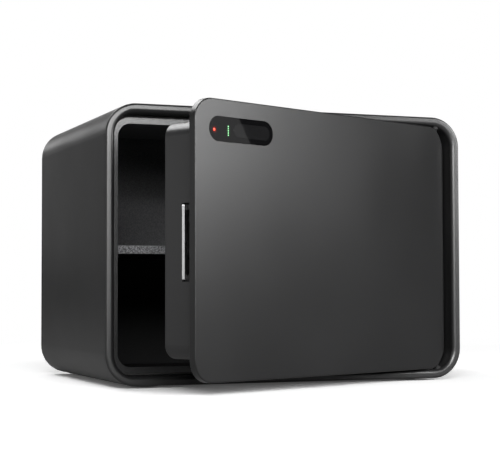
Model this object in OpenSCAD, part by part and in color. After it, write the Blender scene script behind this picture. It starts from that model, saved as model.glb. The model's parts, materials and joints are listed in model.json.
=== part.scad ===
// Biometric safe: a steel case with a recessed front frame, and a door that is hinged at its right.
// +Z is up, +Y runs from the front to the back, and the front faces -Y.
// The origin is the centre of the case's underside, in the middle of the floor anchor holes.
// The door and what it carries are drawn closed, and then turned about the hinge to where they stand.

/* [Case] */
// Width of the case
case_w = 350; // [320:1:420]
// Depth of the case, from the front plane to the back plane
case_d = 250; // [230:1:380]
// Height of the case, without its feet
case_h = 248; // [240:1:320]
// Radius of the four long corners
case_r = 28; // [26:0.5:34]
// Thickness of the shell's sheet
shell_t = 2; // [1.5:0.1:2.5]
// Radius of the shell's fold at the back
fold_r = 5; // [4:0.5:7]
// Width of the flange that the fold leaves round the back
back_flange_w = 16; // [14:0.5:20]
// Thickness of the back panel
back_t = 3; // [2:0.5:5]
// Thickness of the lining on the inner walls
lining_t = 1.5; // [1:0.1:2.5]
// Thickness of the floor mat
mat_t = 3; // [2:0.5:5]

/* [Front frame] */
// Width of the bezel's face
frame_w = 8.5; // [8:0.1:11]
// Depth of the bezel's lip, in front of the shell
lip_d = 3.4; // [3:0.1:5]
// Width of the groove between the lip and the shell
seam_w = 0.3; // [0.3:0.1:1]
// Rounding of the bezel's outer front edge
lip_r = 2; // [1:0.1:3]
// Rounding of the bezel's inner front edge
brow_r = 3.9; // [2:0.1:4]
// Depth from the front plane to the ledge behind the door
recess_d = 18; // [17:0.5:24]
// Width of the ledge
ledge_w = 7.5; // [6:0.5:8]
// Thickness of the ledge's steel
ledge_t = 3; // [2:0.5:4]
// Width of the seal on the ledge
seal_w = 1.6; // [1.5:0.1:4]
// Height of the seal
seal_h = 2; // [1.5:0.1:3]

/* [Door] */
// Angle that the door stands open
door_angle = 23.7; // [0:0.1:76]
// Thickness of the door plate
plate_t = 7; // [6:0.5:8]
// Distance of the closed plate's face behind the front plane
plate_set = 2; // [1:0.5:3]
// Gap above and below the plate
plate_gap = 0.7; // [0.5:0.1:2]
// Gap at the plate's latch side
latch_gap = 2; // [1.5:0.1:4]
// Gap at the plate's hinge side
hinge_gap = 8.5; // [8:0.5:12]
// Distance of the hinge pins from the plate's hinge edge
pin_edge = 6; // [5:0.5:7]
// Radius of the hinge pins
pin_r = 2; // [1.5:0.1:2.4]
// Length of a hinge pin inside the plate
pin_grip = 25; // [15:1:40]
// Rounding of the plate's edges
plate_edge_r = 1; // [0.5:0.1:2]

/* [Door box] */
// Depth of the box on the door's back
pan_d = 41; // [38:0.5:46]
// Thickness of its walls
pan_t = 2; // [1.5:0.1:3]
// Radius of its corners
pan_r = 12; // [8:0.5:18]
// Rounding of its back edge
pan_edge_r = 1.6; // [0.8:0.1:1.9]
// Plate that shows past the box at the latch side
pan_latch = 10; // [9:0.5:14]
// Plate that shows past the box at the hinge side
pan_hinge = 12; // [12:0.5:24]
// Plate that shows below the box
pan_low = 17.8; // [14:0.1:24]
// Plate that shows above the box
pan_top = 16.8; // [14:0.1:20]
// Thickness of the box's back cover
cover_t = 2; // [1.5:0.1:3]
// Width of the seat under the back cover
seat_w = 7; // [6:0.5:9]

/* [Finger panel] */
// Length of the panel
panel_w = 73.9; // [70:0.1:90]
// Height of the panel
panel_h = 20.8; // [19:0.1:26]
// Distance of the panel from the plate's latch edge
panel_edge = 15.4; // [14:0.1:25]
// Distance of the panel's middle from the plate's top edge
panel_drop = 24.5; // [20:0.1:40]
// Length of the finger pad
pad_w = 42.2; // [36:0.1:46]
// Height of the finger pad
pad_h = 11.7; // [10:0.1:14]
// Distance of the finger pad from the panel's right end
pad_end = 4.1; // [3:0.1:6]
// Distance of the red lamp from the panel's left end
lamp_x = 5.8; // [5:0.1:9]
// Radius of the red lamp
lamp_r = 1.4; // [0.8:0.1:2]
// Distance of the column of charge lamps from the panel's left end
charge_x = 21.5; // [13:0.1:23]
// Distance between two charge lamps
charge_step = 1.8; // [1.6:0.1:2]
// Radius of a charge lamp
charge_r = 0.5; // [0.4:0.05:0.6]
// Distance of the lamps' middle below the panel's middle
lamp_drop = 1; // [0:0.1:2]

/* [Bolt] */
// Height of the bolt plate
bolt_h = 61; // [50:1:70]
// Thickness of the bolt plate
bolt_t = 3; // [2.5:0.1:4]
// Height of the bolt's middle above the case's underside
bolt_z = 122.5; // [115:0.5:130]
// Depth of the bolt's face behind the plate's face
bolt_in = 22.9; // [22.5:0.1:25]
// Travel of the bolt
bolt_throw = 12.5; // [8:0.5:13]
// Width of the slot in front of the bolt
slot_free = 7; // [1:0.5:8]
// Module of the rack and the pinion
gear_m = 1; // [0.9:0.05:1.1]
// Radius of the gearbox's shaft
shaft_r = 1.5; // [1:0.1:2]

/* [Power and controls] */
// Radius of a battery cell
cell_r = 7.25; // [7:0.05:7.5]
// Length of a battery cell, with its nub
cell_l = 50.5; // [49:0.1:51]
// Width of the control board
board_w = 80; // [70:1:90]
// Height of the control board
board_h = 68; // [50:1:70]
// Radius of the setup button
button_r = 3.8; // [3:0.1:5]
// Travel of the setup button
button_travel = 1.5; // [0.5:0.1:2]

/* [Shelf] */
// Height of the shelf's underside
shelf_z = 117; // [100:0.5:130]
// Height of the shelf with its felt
shelf_h = 7.7; // [6:0.1:12]
// Thickness of the shelf's sheet
shelf_t = 1.5; // [1:0.1:2]
// Thickness of the shelf's felt
felt_t = 2; // [1:0.1:2.5]
// Gap between the closed door box and the shelf
shelf_gap = 3; // [2.5:0.5:20]
// Width of a shelf bracket
bracket_w = 14; // [10:0.5:20]
// Drop of a shelf bracket down the wall
bracket_h = 16; // [12:0.5:24]

/* [Anchors and feet] */
// Radius of an anchor hole
anchor_r = 5; // [4:0.5:6]
// Distance between floor anchors across the case
floor_anchor_x = 220; // [160:1:240]
// Distance between floor anchors from front to back
floor_anchor_y = 130; // [100:1:150]
// Distance between the two back anchors
back_anchor_x = 240; // [140:1:250]
// Height of the back anchors above the underside
back_anchor_z = 180; // [150:1:190]
// Radius of a foot
foot_r = 13; // [8:0.5:16]
// Height of a foot
foot_h = 2; // [1.5:0.5:6]

/* [Clearances] */
// Gap between nested pieces
nest_gap = 0.3; // [0.2:0.05:0.4]
// Running gap round a shaft or pin
run_gap = 0.05; // [0.02:0.01:0.1]
// Gap between sliding pieces
slide_gap = 0.3; // [0.2:0.05:0.4]
// Gap round a piece that is let into another
inlay_gap = 0.15; // [0.1:0.05:0.25]

/* [Hidden] */
$fn = 96;

paint = [0.2, 0.2, 0.205];
paint_face = [0.3, 0.3, 0.305];
black = [0.06, 0.06, 0.065];
felt_grey = [0.45, 0.45, 0.46];
steel = [0.8, 0.8, 0.81];

front_y = -case_d / 2;
back_y = case_d / 2;
case_cz = case_h / 2;
nest = shell_t + nest_gap;
shell_front = lip_d + seam_w;
ledge_front = front_y + recess_d;
ledge_back = ledge_front + ledge_t;
ledge_in = frame_w + ledge_w;
seam_soft = 0.6;

// Lining and floor
lining_step = 4;
lining_in = nest + lining_t;
lining_front = ledge_back + lining_step;
back_inner = back_y - shell_t - back_t;
lining_back = back_inner - lining_t;
mat_gap = 0.1;
mat_side = case_r + 1;
mat_r = 6;
access_over = 7;
access_r = anchor_r + access_over;

// Door plate
hinge_x = case_w / 2 - frame_w - hinge_gap - pin_edge;
hinge_y = front_y + plate_set + plate_t / 2;
plate_l = -(case_w / 2 - frame_w - latch_gap);
plate_rt = hinge_x + pin_edge;
plate_w = plate_rt - plate_l;
plate_cx = (plate_rt + plate_l) / 2;
plate_z0 = frame_w + plate_gap;
plate_h = case_h - 2 * plate_z0;
plate_top = plate_z0 + plate_h;
plate_r = case_r - frame_w - plate_gap;
plate_front = front_y + plate_set;
plate_back = plate_front + plate_t;

// Hinge: the rail's surface is an arc where the pin goes in
rail_arc_r = case_r - frame_w;
rail_arc_x = case_w / 2 - case_r;
bush_wall = 1.5;
bush_r = pin_r + bush_wall;
bush_lift = 1.7;
bush_low = nest + bush_lift;
bush_proud = 0.6;
bush_top = case_r - sqrt(pow(rail_arc_r, 2) - pow(hinge_x + bush_r - rail_arc_x, 2)) + bush_proud;
bush_floor = 1.2;
pin_end = bush_low + bush_floor + slide_gap;
plate_arc_x = plate_rt - plate_r;
pin_top = plate_z0 + plate_r - sqrt(pow(plate_r, 2) - pow(hinge_x - plate_arc_x, 2)) + pin_grip;

// Door box
pan_l = plate_l + pan_latch;
pan_rt = plate_rt - pan_hinge;
pan_z0 = plate_z0 + pan_low;
pan_z1 = plate_top - pan_top;
pan_w = pan_rt - pan_l;
pan_h = pan_z1 - pan_z0;
pan_cx = (pan_l + pan_rt) / 2;
pan_cz = (pan_z0 + pan_z1) / 2;
pan_back = plate_back + pan_d;
cover_in = pan_back - cover_t;
cover_gap = 0.2;
seat_t = 2;
screw_edge = 3;
screw_in = pan_t + seat_w - screw_edge;
screw_r = 1.5;
screw_head_r = 2.7;
screw_head_h = 1.1;
cross_w = 0.7;
cross_l = 3.4;

// Finger panel
panel_cx = plate_l + panel_edge + panel_w / 2;
panel_cz = plate_top - panel_drop;
lamps_cz = panel_cz - lamp_drop;
panel_l = plate_l + panel_edge;
lens_t = 2;
lens_proud = 0.2;
pad_proud = 0.35;
pad_deep = 5.5;
pad_cx = panel_l + panel_w - pad_end - pad_w / 2;
charge_count = 5;
cup_floor = 4;
housing_d = 10;
housing_in = 4;
housing_over = 5;
housing_top = min(panel_cz + panel_h / 2 - housing_over, pan_z1 - pan_t - 1);
housing_low = panel_cz - panel_h / 2 + 1;
housing_x = panel_l + housing_in;
housing_w = panel_w - 2 * housing_in;

// Bolt, rack and drive
bolt_front = plate_front + bolt_in;
bolt_back = bolt_front + bolt_t;
bolt_proud = 0.4;
bolt_tip = pan_l - bolt_proud;
bolt_edge = 0.8;
head_l = 26;
bolt_z0 = bolt_z - bolt_h / 2;
bolt_z1 = bolt_z + bolt_h / 2;
guide_l = 24;
guide_x = pan_l + pan_t + 1;
guide_bite = 4;
guide_h = 13;
guide_back_t = 3;
teeth = 12;
press_angle = 25;
backlash = 0.25;
pitch_r = gear_m * teeth / 2;
tip_add = 0.9 * gear_m;
root_ded = 1.25 * gear_m;
pinion_run = 43;
pinion_drop = 10;
pinion_x = bolt_tip + pinion_run;
pinion_z = bolt_z - pinion_drop;
pitch_z = pinion_z + pitch_r;
rack_step = PI * gear_m;
rack_teeth = ceil(bolt_throw / rack_step) + 6;
rack_x0 = pinion_x - 2 * rack_step;
tongue_h = 13;
tongue_x1 = rack_x0 + rack_teeth * rack_step;
pinion_side = 0.5;
pinion_face = bolt_t + 2 * pinion_side;
shaft_in = 7;
shaft_out = 1;
box_w = 24;
box_h = 28;
box_gap = 2.5;
box_back = bolt_front - box_gap;
box_d = box_back - plate_back;
motor_r = 6;
motor_l = 26;
motor_drop = 5;
motor_gap = 0.5;
motor_boss_r = 2.2;
motor_boss_l = 1.5;
slot_end = 1.5;

// Board
board_t = 1.6;
board_off = 5;
board_motor_gap = 6;
board_drop = 27.8;
board_x0 = pinion_x + box_w / 2 + motor_l + board_motor_gap;
board_z0 = panel_cz - board_drop - board_h;
board_front = plate_back + board_off;
board_back = board_front + board_t;
post_r = 2.5;
post_in = 4;

// Battery holder, which hangs from the back cover
cells = 4;
spring_room = 7.5;
cell_gap = 0.5;
holder_run = 19;
holder_rise = 58;
holder_t = 1.5;
holder_r = 3;
holder_over = 3.5;
holder_rim = 4;
holder_w = cell_l + spring_room;
cell_step = 2 * cell_r + cell_gap;
holder_h = cells * cell_step + cell_gap;
holder_cx = board_x0 + board_w + holder_run + holder_w / 2;
holder_cz = pan_z0 + holder_rise;
holder_d = 2 * cell_r + holder_over;
cell_seat = 0.1;
cell_nub_r = 2.7;
cell_nub_l = 1;
contact_t = 0.4;
contact_w = 11;
contact_h = 9;
spring_r = 2.4;
spring_gap = 0.05;
cell_y = cover_in - holder_d + holder_t + cell_seat + cell_r;

// Setup button
button_run = 52;
button_rise = 42;
button_x = pinion_x + button_run;
button_z = pan_z0 + button_rise;
button_proud = 0.6;
button_rim = 1.3;
button_rim_t = 1.2;
rim_gap = 0.4;
switch_wall = 1.6;
switch_spare = 0.8;
switch_d = rim_gap + button_rim_t + button_travel + switch_spare + switch_wall;

// Shelf
shelf_front = pan_back + shelf_gap;
shelf_side = 0.6;
shelf_w = case_w - 2 * (lining_in + shelf_side);
shelf_top = shelf_z + shelf_h - felt_t;
bracket_t = 1.5;
bracket_x = case_w / 2 - lining_in - 0.1;
bracket_in = 10;
bracket_l = lining_back - shelf_front - 2 * bracket_in;
stud_r = 2;
stud_l = 7;
nut_r = 3.6;
nut_t = 2.4;

// Feet
foot_side = 4;
foot_back = 22;
foot_x = case_w / 2 - case_r - foot_r - foot_side;
foot_y = case_d / 2 - foot_r - foot_back;

// Two-dimensional shapes

module rounded_rect(w, h, r) {
    square([w - 2 * r, h], center = true);
    square([w, h - 2 * r], center = true);
    for (sx = [-1, 1], sy = [-1, 1])
        translate([sx * (w / 2 - r), sy * (h / 2 - r)]) circle(r);
}

// A bar with round ends
module pill(w, h) {
    square([w - h, h], center = true);
    for (sx = [-1, 1]) translate([sx * (w - h) / 2, 0]) circle(h / 2);
}

// What a corner at the origin loses when it is rounded
module soft_corner(r) {
    difference() {
        translate([-1, -1]) square(r + 1);
        translate([r, r]) circle(r);
    }
}

// Placing

// Lays an outline in the X-Z plane, with its thickness running back from y
module upright(y, t) {
    translate([0, y + t, 0]) rotate([90, 0, 0]) linear_extrude(t) children();
}

// Carries a profile round a rounded rectangle that faces the front.
// The profile's x is the inset from the outline, and its y is the depth.
module around(w, h, r) {
    for (turn = [0, 180]) rotate([0, turn, 0]) {
        translate([-w / 2, 0, -(h / 2 - r)]) linear_extrude(h - 2 * r) children();
        translate([-(w / 2 - r), 0, h / 2]) rotate([0, 90, 0])
            linear_extrude(w - 2 * r) children();
    }
    for (k = [0:3])
        translate([(k == 0 || k == 3 ? 1 : -1) * (w / 2 - r), 0,
                (k < 2 ? -1 : 1) * (h / 2 - r)])
            rotate([0, 90 * k, 0]) rotate([-90, 0, 0]) rotate_extrude(angle = 90)
                translate([r, 0]) mirror([1, 0]) children();
}

// Puts a closed door's piece where the door stands
module on_door() {
    translate([hinge_x, hinge_y, 0]) rotate([0, 0, door_angle])
        translate([-hinge_x, -hinge_y, 0]) children();
}

// Same piece at the bottom and at the top of the case
module low_and_high() {
    children();
    translate([0, 0, case_h]) mirror([0, 0, 1]) children();
}

module floor_anchors(r, z, h) {
    for (sx = [-1, 1], sy = [-1, 1])
        translate([sx * floor_anchor_x / 2, sy * floor_anchor_y / 2, z]) cylinder(h = h, r = r);
}

module back_anchors(r, y, d) {
    for (sx = [-1, 1])
        translate([sx * back_anchor_x / 2, y, back_anchor_z]) rotate([-90, 0, 0])
            cylinder(h = d, r = r);
}

// Round bar along Y
module rod_y(x, y, z, r, l) {
    translate([x, y, z]) rotate([-90, 0, 0]) cylinder(h = l, r = r);
}

// Pan-head screw that goes in along -Y, with its head's underside at y = 0
module screw(l) {
    difference() {
        union() {
            rotate([-90, 0, 0]) cylinder(h = screw_head_h, r = screw_head_r);
            rotate([90, 0, 0]) cylinder(h = l, r = screw_r);
        }
        for (a = [0, 90]) rotate([0, a, 0])
            translate([-cross_l / 2, screw_head_h - cross_w, -cross_w / 2])
                cube([cross_l, 2 * cross_w, cross_w]);
    }
}

// Case

module shell_profile() {
    difference() {
        union() {
            translate([0, shell_front]) square([shell_t, case_d - fold_r - shell_front]);
            intersection() {
                translate([0, case_d - fold_r]) square(fold_r);
                difference() {
                    translate([fold_r, case_d - fold_r]) circle(fold_r);
                    translate([fold_r, case_d - fold_r]) circle(fold_r - shell_t);
                }
            }
            translate([fold_r, case_d - shell_t]) square([back_flange_w - fold_r, shell_t]);
        }
        translate([0, shell_front]) soft_corner(seam_soft);
    }
}

module outer_shell() {
    color(paint) difference() {
        translate([0, front_y, case_cz]) around(case_w, case_h, case_r) shell_profile();
        floor_anchors(anchor_r, -1, shell_t + 2);
    }
}

module back_panel() {
    inset = fold_r + nest_gap;
    color(paint) difference() {
        translate([0, 0, case_cz]) upright(back_inner, back_t)
            rounded_rect(case_w - 2 * inset, case_h - 2 * inset, case_r - inset);
        back_anchors(anchor_r, back_inner - 1, back_t + 2);
    }
}

module bezel_profile() {
    difference() {
        union() {
            square([frame_w, lip_d]);
            translate([nest, 0]) square([frame_w - nest, recess_d]);
        }
        soft_corner(lip_r);
        translate([frame_w, 0]) mirror([1, 0]) soft_corner(brow_r);
    }
}

module front_bezel() {
    color(paint_face) difference() {
        translate([0, front_y, case_cz]) around(case_w, case_h, case_r) bezel_profile();
        low_and_high() translate([hinge_x, hinge_y, bush_low])
            cylinder(h = bush_top, r = bush_r + run_gap);
    }
}

module hinge_bushes() {
    color("gray") low_and_high() translate([hinge_x, hinge_y, bush_low]) difference() {
        cylinder(h = bush_top - bush_low, r = bush_r);
        translate([0, 0, bush_floor]) cylinder(h = bush_top, r = pin_r + run_gap);
    }
}

module strike_frame() {
    color(paint) translate([0, 0, case_cz]) upright(ledge_front, ledge_t) difference() {
        rounded_rect(case_w - 2 * nest, case_h - 2 * nest, case_r - nest);
        rounded_rect(case_w - 2 * ledge_in, case_h - 2 * ledge_in, case_r - ledge_in);
    }
}

// A rounded rubber strip on the ledge, next to the bezel's wall
module door_seal() {
    inset = frame_w + nest_gap;
    soft = seal_w / 2 - 0.1;
    color(black) translate([0, ledge_front - seal_h, case_cz])
        around(case_w, case_h, case_r) translate([inset, 0]) difference() {
            square([seal_w, seal_h]);
            soft_corner(min(soft, seal_h - 0.2));
            translate([seal_w, 0]) mirror([1, 0]) soft_corner(min(soft, seal_h - 0.2));
        }
}

strike_side = 0.6;
strike_in = 1;
strike_over = 24;
strike_gap = 0.4;
strike_end = 6;
strike_l = -(case_w / 2 - lining_in - strike_side);
strike_w = -(case_w / 2 - ledge_in) - strike_in - strike_l;
strike_h = bolt_h + strike_over;
strike_t = bolt_front - strike_gap - ledge_back;
strike_hole_z = strike_h / 2 - strike_end;

module strike_plate() {
    color(steel) difference() {
        translate([strike_l, ledge_back, bolt_z - strike_h / 2]) cube([strike_w, strike_t, strike_h]);
        for (s = [-1, 1])
            rod_y(strike_l + strike_w / 2, ledge_back - 1, bolt_z + s * strike_hole_z,
                screw_r + inlay_gap, strike_t + 2);
    }
}

module strike_screws() {
    color(steel) for (s = [-1, 1])
        translate([strike_l + strike_w / 2, ledge_back + strike_t, bolt_z + s * strike_hole_z])
            screw(strike_t);
}

module wall_lining() {
    w = case_w - 2 * nest;
    h = case_h - 2 * nest;
    r = case_r - nest;
    color(black) difference() {
        translate([0, 0, case_cz]) union() {
            upright(lining_front, lining_back - lining_front) difference() {
                rounded_rect(w, h, r);
                rounded_rect(w - 2 * lining_t, h - 2 * lining_t, r - lining_t);
            }
            upright(lining_back, lining_t) rounded_rect(w, h, r);
        }
        floor_anchors(access_r, 0, nest + lining_t + 1);
        back_anchors(access_r, lining_back - 1, lining_t + 2);
        for (s = [-1, 1], y = stud_ys) translate([s * case_w / 2, y, stud_z]) rotate([0, -s * 90, 0])
            cylinder(h = lining_in + 1, r = stud_r + nest_gap);
    }
}

mat_step = 3;
mat_front = lining_front + mat_step;

module floor_mat() {
    color(black) difference() {
        translate([0, (mat_front + lining_back - 1) / 2, lining_in + mat_gap])
            linear_extrude(mat_t)
                rounded_rect(case_w - 2 * mat_side, lining_back - 1 - mat_front, mat_r);
        floor_anchors(access_r, lining_in, mat_t + 1);
    }
}

// Shelf: a tray with its edges turned down, under a sheet of felt

shelf_y1 = lining_back - 0.7;
shelf_y0 = shelf_front + felt_t;

module shelf() {
    color(paint) difference() {
        translate([-shelf_w / 2, shelf_y0, shelf_z])
            cube([shelf_w, shelf_y1 - shelf_y0, shelf_top - shelf_z]);
        translate([-shelf_w / 2 + shelf_t, shelf_y0 + shelf_t, shelf_z - 1])
            cube([shelf_w - 2 * shelf_t, shelf_y1 - shelf_y0 - 2 * shelf_t,
                shelf_top - shelf_z - shelf_t + 1]);
    }
}

module shelf_felt() {
    color(felt_grey) union() {
        translate([-shelf_w / 2, shelf_front, shelf_top])
            cube([shelf_w, shelf_y1 - shelf_front, felt_t]);
        translate([-shelf_w / 2, shelf_front, shelf_z])
            cube([shelf_w, felt_t, shelf_h]);
    }
}

stud_z = shelf_z - bracket_h / 2 - 1;
bracket_y0 = shelf_front + bracket_in;
stud_in = 15;
stud_ys = [bracket_y0 + stud_in, bracket_y0 + bracket_l / 2, bracket_y0 + bracket_l - stud_in];

module shelf_brackets() {
    color(paint) for (s = [0, 1]) mirror([s, 0, 0]) difference() {
        union() {
            translate([bracket_x - bracket_t, bracket_y0, shelf_z - bracket_h])
                cube([bracket_t, bracket_l, bracket_h]);
            translate([bracket_x - bracket_w, bracket_y0, shelf_z - bracket_t])
                cube([bracket_w, bracket_l, bracket_t]);
        }
        for (y = stud_ys) translate([case_w / 2, y, stud_z]) rotate([0, -90, 0])
            cylinder(h = case_w / 2 - bracket_x + 2 * bracket_t, r = stud_r + inlay_gap);
    }
}

// Studs welded to the shell, each with its nut
module bracket_studs() {
    color(steel) for (s = [0, 1], y = stud_ys) mirror([s, 0, 0]) {
        translate([case_w / 2 - shell_t, y, stud_z]) rotate([0, -90, 0])
            cylinder(h = stud_l + lining_t, r = stud_r);
        translate([bracket_x - bracket_t - 0.1, y, stud_z]) rotate([0, -90, 0])
            cylinder(h = nut_t, r = nut_r, $fn = 6);
    }
}

module feet() {
    color(black) for (sx = [-1, 1], sy = [-1, 1])
        translate([sx * foot_x, sy * foot_y, -foot_h])
            rotate_extrude() difference() {
                square([foot_r, foot_h]);
                translate([foot_r, 0]) mirror([1, 0]) soft_corner(foot_h / 3);
            }
}

// Door

module door_plate() {
    rim = 7;
    color(paint_face) on_door() difference() {
        union() {
            translate([plate_cx, 0, case_cz]) upright(plate_front, plate_t)
                rounded_rect(plate_w - 2 * rim, plate_h - 2 * rim, plate_r - rim);
            translate([plate_cx, plate_front, case_cz])
                around(plate_w, plate_h, plate_r) difference() {
                    square([rim + 1, plate_t]);
                    soft_corner(plate_edge_r);
                    translate([0, plate_t]) mirror([0, 1]) soft_corner(plate_edge_r / 2);
                }
        }
        translate([panel_cx, 0, panel_cz]) upright(plate_front - 1, plate_t + 2)
            pill(panel_w, panel_h);
        low_and_high() translate([hinge_x, hinge_y, 0])
            cylinder(h = pin_top + slide_gap, r = pin_r + run_gap);
    }
}

module hinge_pins() {
    color(black) on_door() low_and_high() translate([hinge_x, hinge_y, pin_end])
        cylinder(h = pin_top - pin_end, r = pin_r);
}

module cover_outline(inset) {
    rounded_rect(pan_w - 2 * inset, pan_h - 2 * inset, pan_r - inset);
}

// The walls, with a foot on the plate and a seat for the cover
module pan_profile() {
    difference() {
        square([pan_t, pan_d]);
        translate([0, pan_d]) mirror([0, 1]) soft_corner(pan_edge_r);
    }
    translate([pan_t, 0]) square([seat_w, seat_t]);
    translate([pan_t, pan_d - cover_t - seat_t]) square([seat_w, seat_t]);
}

module door_pan() {
    color(paint) on_door() difference() {
        translate([pan_cx, plate_back, pan_cz]) around(pan_w, pan_h, pan_r) pan_profile();
        // Slot that the bolt comes out of
        translate([pan_l - 1, bolt_front - slot_free, bolt_z0 - slot_end])
            cube([pan_t + 1.5, slot_free + bolt_t + slide_gap, bolt_h + 2 * slot_end]);
        cover_places() rod_y(0, cover_in - seat_t - 1, 0, screw_r + inlay_gap, seat_t + 2);
        // Room for the finger panel's housing
        translate([housing_x - 1, plate_back - 1, housing_low - 1])
            cube([housing_w + 2, seat_t + 1.5, pan_z1 - pan_t - housing_low + 1]);
    }
}

// Where the back cover's screws go
module cover_places() {
    zs = [pan_z0 + screw_in, pan_cz, pan_z1 - screw_in];
    inner = pan_r;
    for (x = [pan_l + inner, pan_cx, pan_rt - inner], z = [zs[0], zs[2]]) translate([x, 0, z]) children();
    for (x = [pan_l + screw_in, pan_rt - screw_in]) translate([x, 0, zs[1]]) children();
}

module pan_cover() {
    color(paint) on_door() difference() {
        translate([pan_cx, 0, pan_cz]) upright(cover_in, cover_t) cover_outline(pan_t + cover_gap);
        cover_places() rod_y(0, cover_in - 1, 0, screw_r + inlay_gap, cover_t + 2);
        translate([holder_cx, 0, holder_cz]) upright(cover_in - 1, cover_t + 2)
            rounded_rect(holder_w, holder_h, holder_r);
        rod_y(button_x, cover_in - 1, button_z, button_r + slide_gap, cover_t + 2);
    }
}

module cover_screws() {
    color(steel) on_door() translate([0, pan_back, 0]) cover_places() screw(cover_t + seat_t);
}

// Finger panel

module sensor_housing() {
    color(black) on_door() difference() {
        union() {
            translate([panel_cx, 0, panel_cz])
                upright(plate_front + lens_t - lens_proud, plate_back - plate_front - lens_t + lens_proud)
                    pill(panel_w - 2 * inlay_gap, panel_h - 2 * inlay_gap);
            translate([housing_x, plate_back, housing_low])
                cube([housing_w, housing_d, housing_top - housing_low]);
        }
        translate([pad_cx, 0, panel_cz]) upright(plate_front, pad_deep + inlay_gap)
            pill(pad_w + 2 * inlay_gap, pad_h + 2 * inlay_gap);
        panel_lamps(inlay_gap, plate_front, cup_floor);
    }
}

module sensor_lens() {
    color(black) on_door() difference() {
        translate([panel_cx, 0, panel_cz]) upright(plate_front - lens_proud, lens_t)
            difference() {
                pill(panel_w - 2 * inlay_gap, panel_h - 2 * inlay_gap);
                translate([pad_cx - panel_cx, 0]) pill(pad_w + 2 * inlay_gap, pad_h + 2 * inlay_gap);
            }
        panel_lamps(inlay_gap / 2, plate_front - 1, lens_t + 2);
    }
}

// Red lamp and column of charge lamps, grown by a gap
module panel_lamps(gap, y, d) {
    red_lamp(gap, y, d);
    charge_column(gap, y, d);
}

module red_lamp(gap, y, d) {
    rod_y(panel_l + lamp_x, y, lamps_cz, lamp_r + gap, d);
}

module charge_column(gap, y, d) {
    for (i = [0:charge_count - 1])
        rod_y(panel_l + charge_x, y, lamps_cz + (i - (charge_count - 1) / 2) * charge_step,
            charge_r + gap, d);
}

module finger_pad() {
    color(black) on_door() translate([pad_cx, 0, panel_cz])
        upright(plate_front - pad_proud, pad_deep + pad_proud) pill(pad_w, pad_h);
}

module alert_lamp() {
    color("red") on_door() red_lamp(0, plate_front - lens_proud - 0.05, cup_floor);
}

module charge_lamps() {
    color("lime") on_door() charge_column(0, plate_front - lens_proud - 0.05, cup_floor);
}

// Control board

// Each is [x, z, width, height, thickness] from the board's corner
ribbon_plug = [12, 44, 14, 14, 1.6];
motor_plug = [16, 14, 10, 16, 4];
battery_plug = [60, 18, 12, 20, 4];
board_parts = [ribbon_plug, motor_plug, battery_plug, [38, 40, 18, 12, 1.4], [40, 12, 8, 8, 3],
    [62, 48, 10, 8, 4]];
post_head = 1.2;
post_lift = 0.1;

module board_places() {
    for (x = [post_in, board_w - post_in], z = [post_in, board_h - post_in])
        translate([board_x0 + x, 0, board_z0 + z]) children();
}

module control_board() {
    color("darkgreen") on_door() difference() {
        translate([board_x0, board_front, board_z0]) cube([board_w, board_t, board_h]);
        board_places() rod_y(0, board_front - 1, 0, screw_r + inlay_gap, board_t + 2);
    }
}

module board_chips() {
    color(black) on_door() for (c = board_parts)
        translate([board_x0 + c[0], board_back, board_z0 + c[1]]) cube([c[2], c[4], c[3]]);
}

module board_posts() {
    color(steel) on_door() board_places() {
        rod_y(0, plate_back, 0, post_r, board_off);
        rod_y(0, plate_back, 0, screw_r, board_off + board_t + post_lift);
        rod_y(0, board_back + post_lift, 0, post_r, post_head);
    }
}

// Power

module battery_holder() {
    color(black) on_door() difference() {
        union() {
            translate([holder_cx, 0, holder_cz]) upright(cover_in - holder_d, holder_d)
                rounded_rect(holder_w + 2 * holder_t, holder_h + 2 * holder_t, holder_r + holder_t);
            translate([holder_cx, 0, holder_cz]) upright(cover_in - holder_t, holder_t)
                rounded_rect(holder_w + 2 * holder_rim, holder_h + 2 * holder_rim,
                    holder_r + holder_rim);
        }
        translate([holder_cx, 0, holder_cz]) upright(cover_in - holder_d + holder_t, holder_d)
            rounded_rect(holder_w, holder_h, holder_r);
    }
}

function cell_z(i) = holder_cz + (i - (cells - 1) / 2) * cell_step;

module battery_cells() {
    color("goldenrod") on_door() for (i = [0:cells - 1])
        translate([holder_cx, cell_y, cell_z(i)]) rotate([0, i % 2 == 0 ? 90 : -90, 0]) {
            translate([0, 0, -cell_l / 2]) cylinder(h = cell_l - cell_nub_l, r = cell_r);
            translate([0, 0, -cell_l / 2]) cylinder(h = cell_l, r = cell_nub_r);
        }
}

// A flat tab at each end of each cell, with the squeezed spring as a plug
module battery_contacts() {
    reach = (holder_w - cell_l) / 2;
    color(steel) on_door() for (i = [0:cells - 1], s = [-1, 1]) {
        x = s * (holder_w / 2 - contact_t);
        translate([holder_cx + (s > 0 ? x : x - contact_t), cell_y - contact_w / 2,
                cell_z(i) - contact_h / 2])
            cube([contact_t, contact_w, contact_h]);
        translate([holder_cx + s * (cell_l / 2 + spring_gap), cell_y, cell_z(i)])
            rotate([0, s * 90, 0]) cylinder(h = reach - contact_t - spring_gap, r = spring_r);
    }
}

// Finger grip that is pressed into the battery cover
grip_w = 16;
grip_h = 5;
grip_in = 9;
grip_deep = 0.8;

module battery_cover() {
    color(paint) on_door() difference() {
        translate([holder_cx, 0, holder_cz]) upright(cover_in, cover_t)
            rounded_rect(holder_w - 2 * slide_gap, holder_h - 2 * slide_gap, holder_r - slide_gap);
        translate([holder_cx, 0, holder_cz + holder_h / 2 - grip_in]) upright(pan_back - grip_deep, cover_t)
            pill(grip_w, grip_h);
    }
}

// Motor drive

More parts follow.
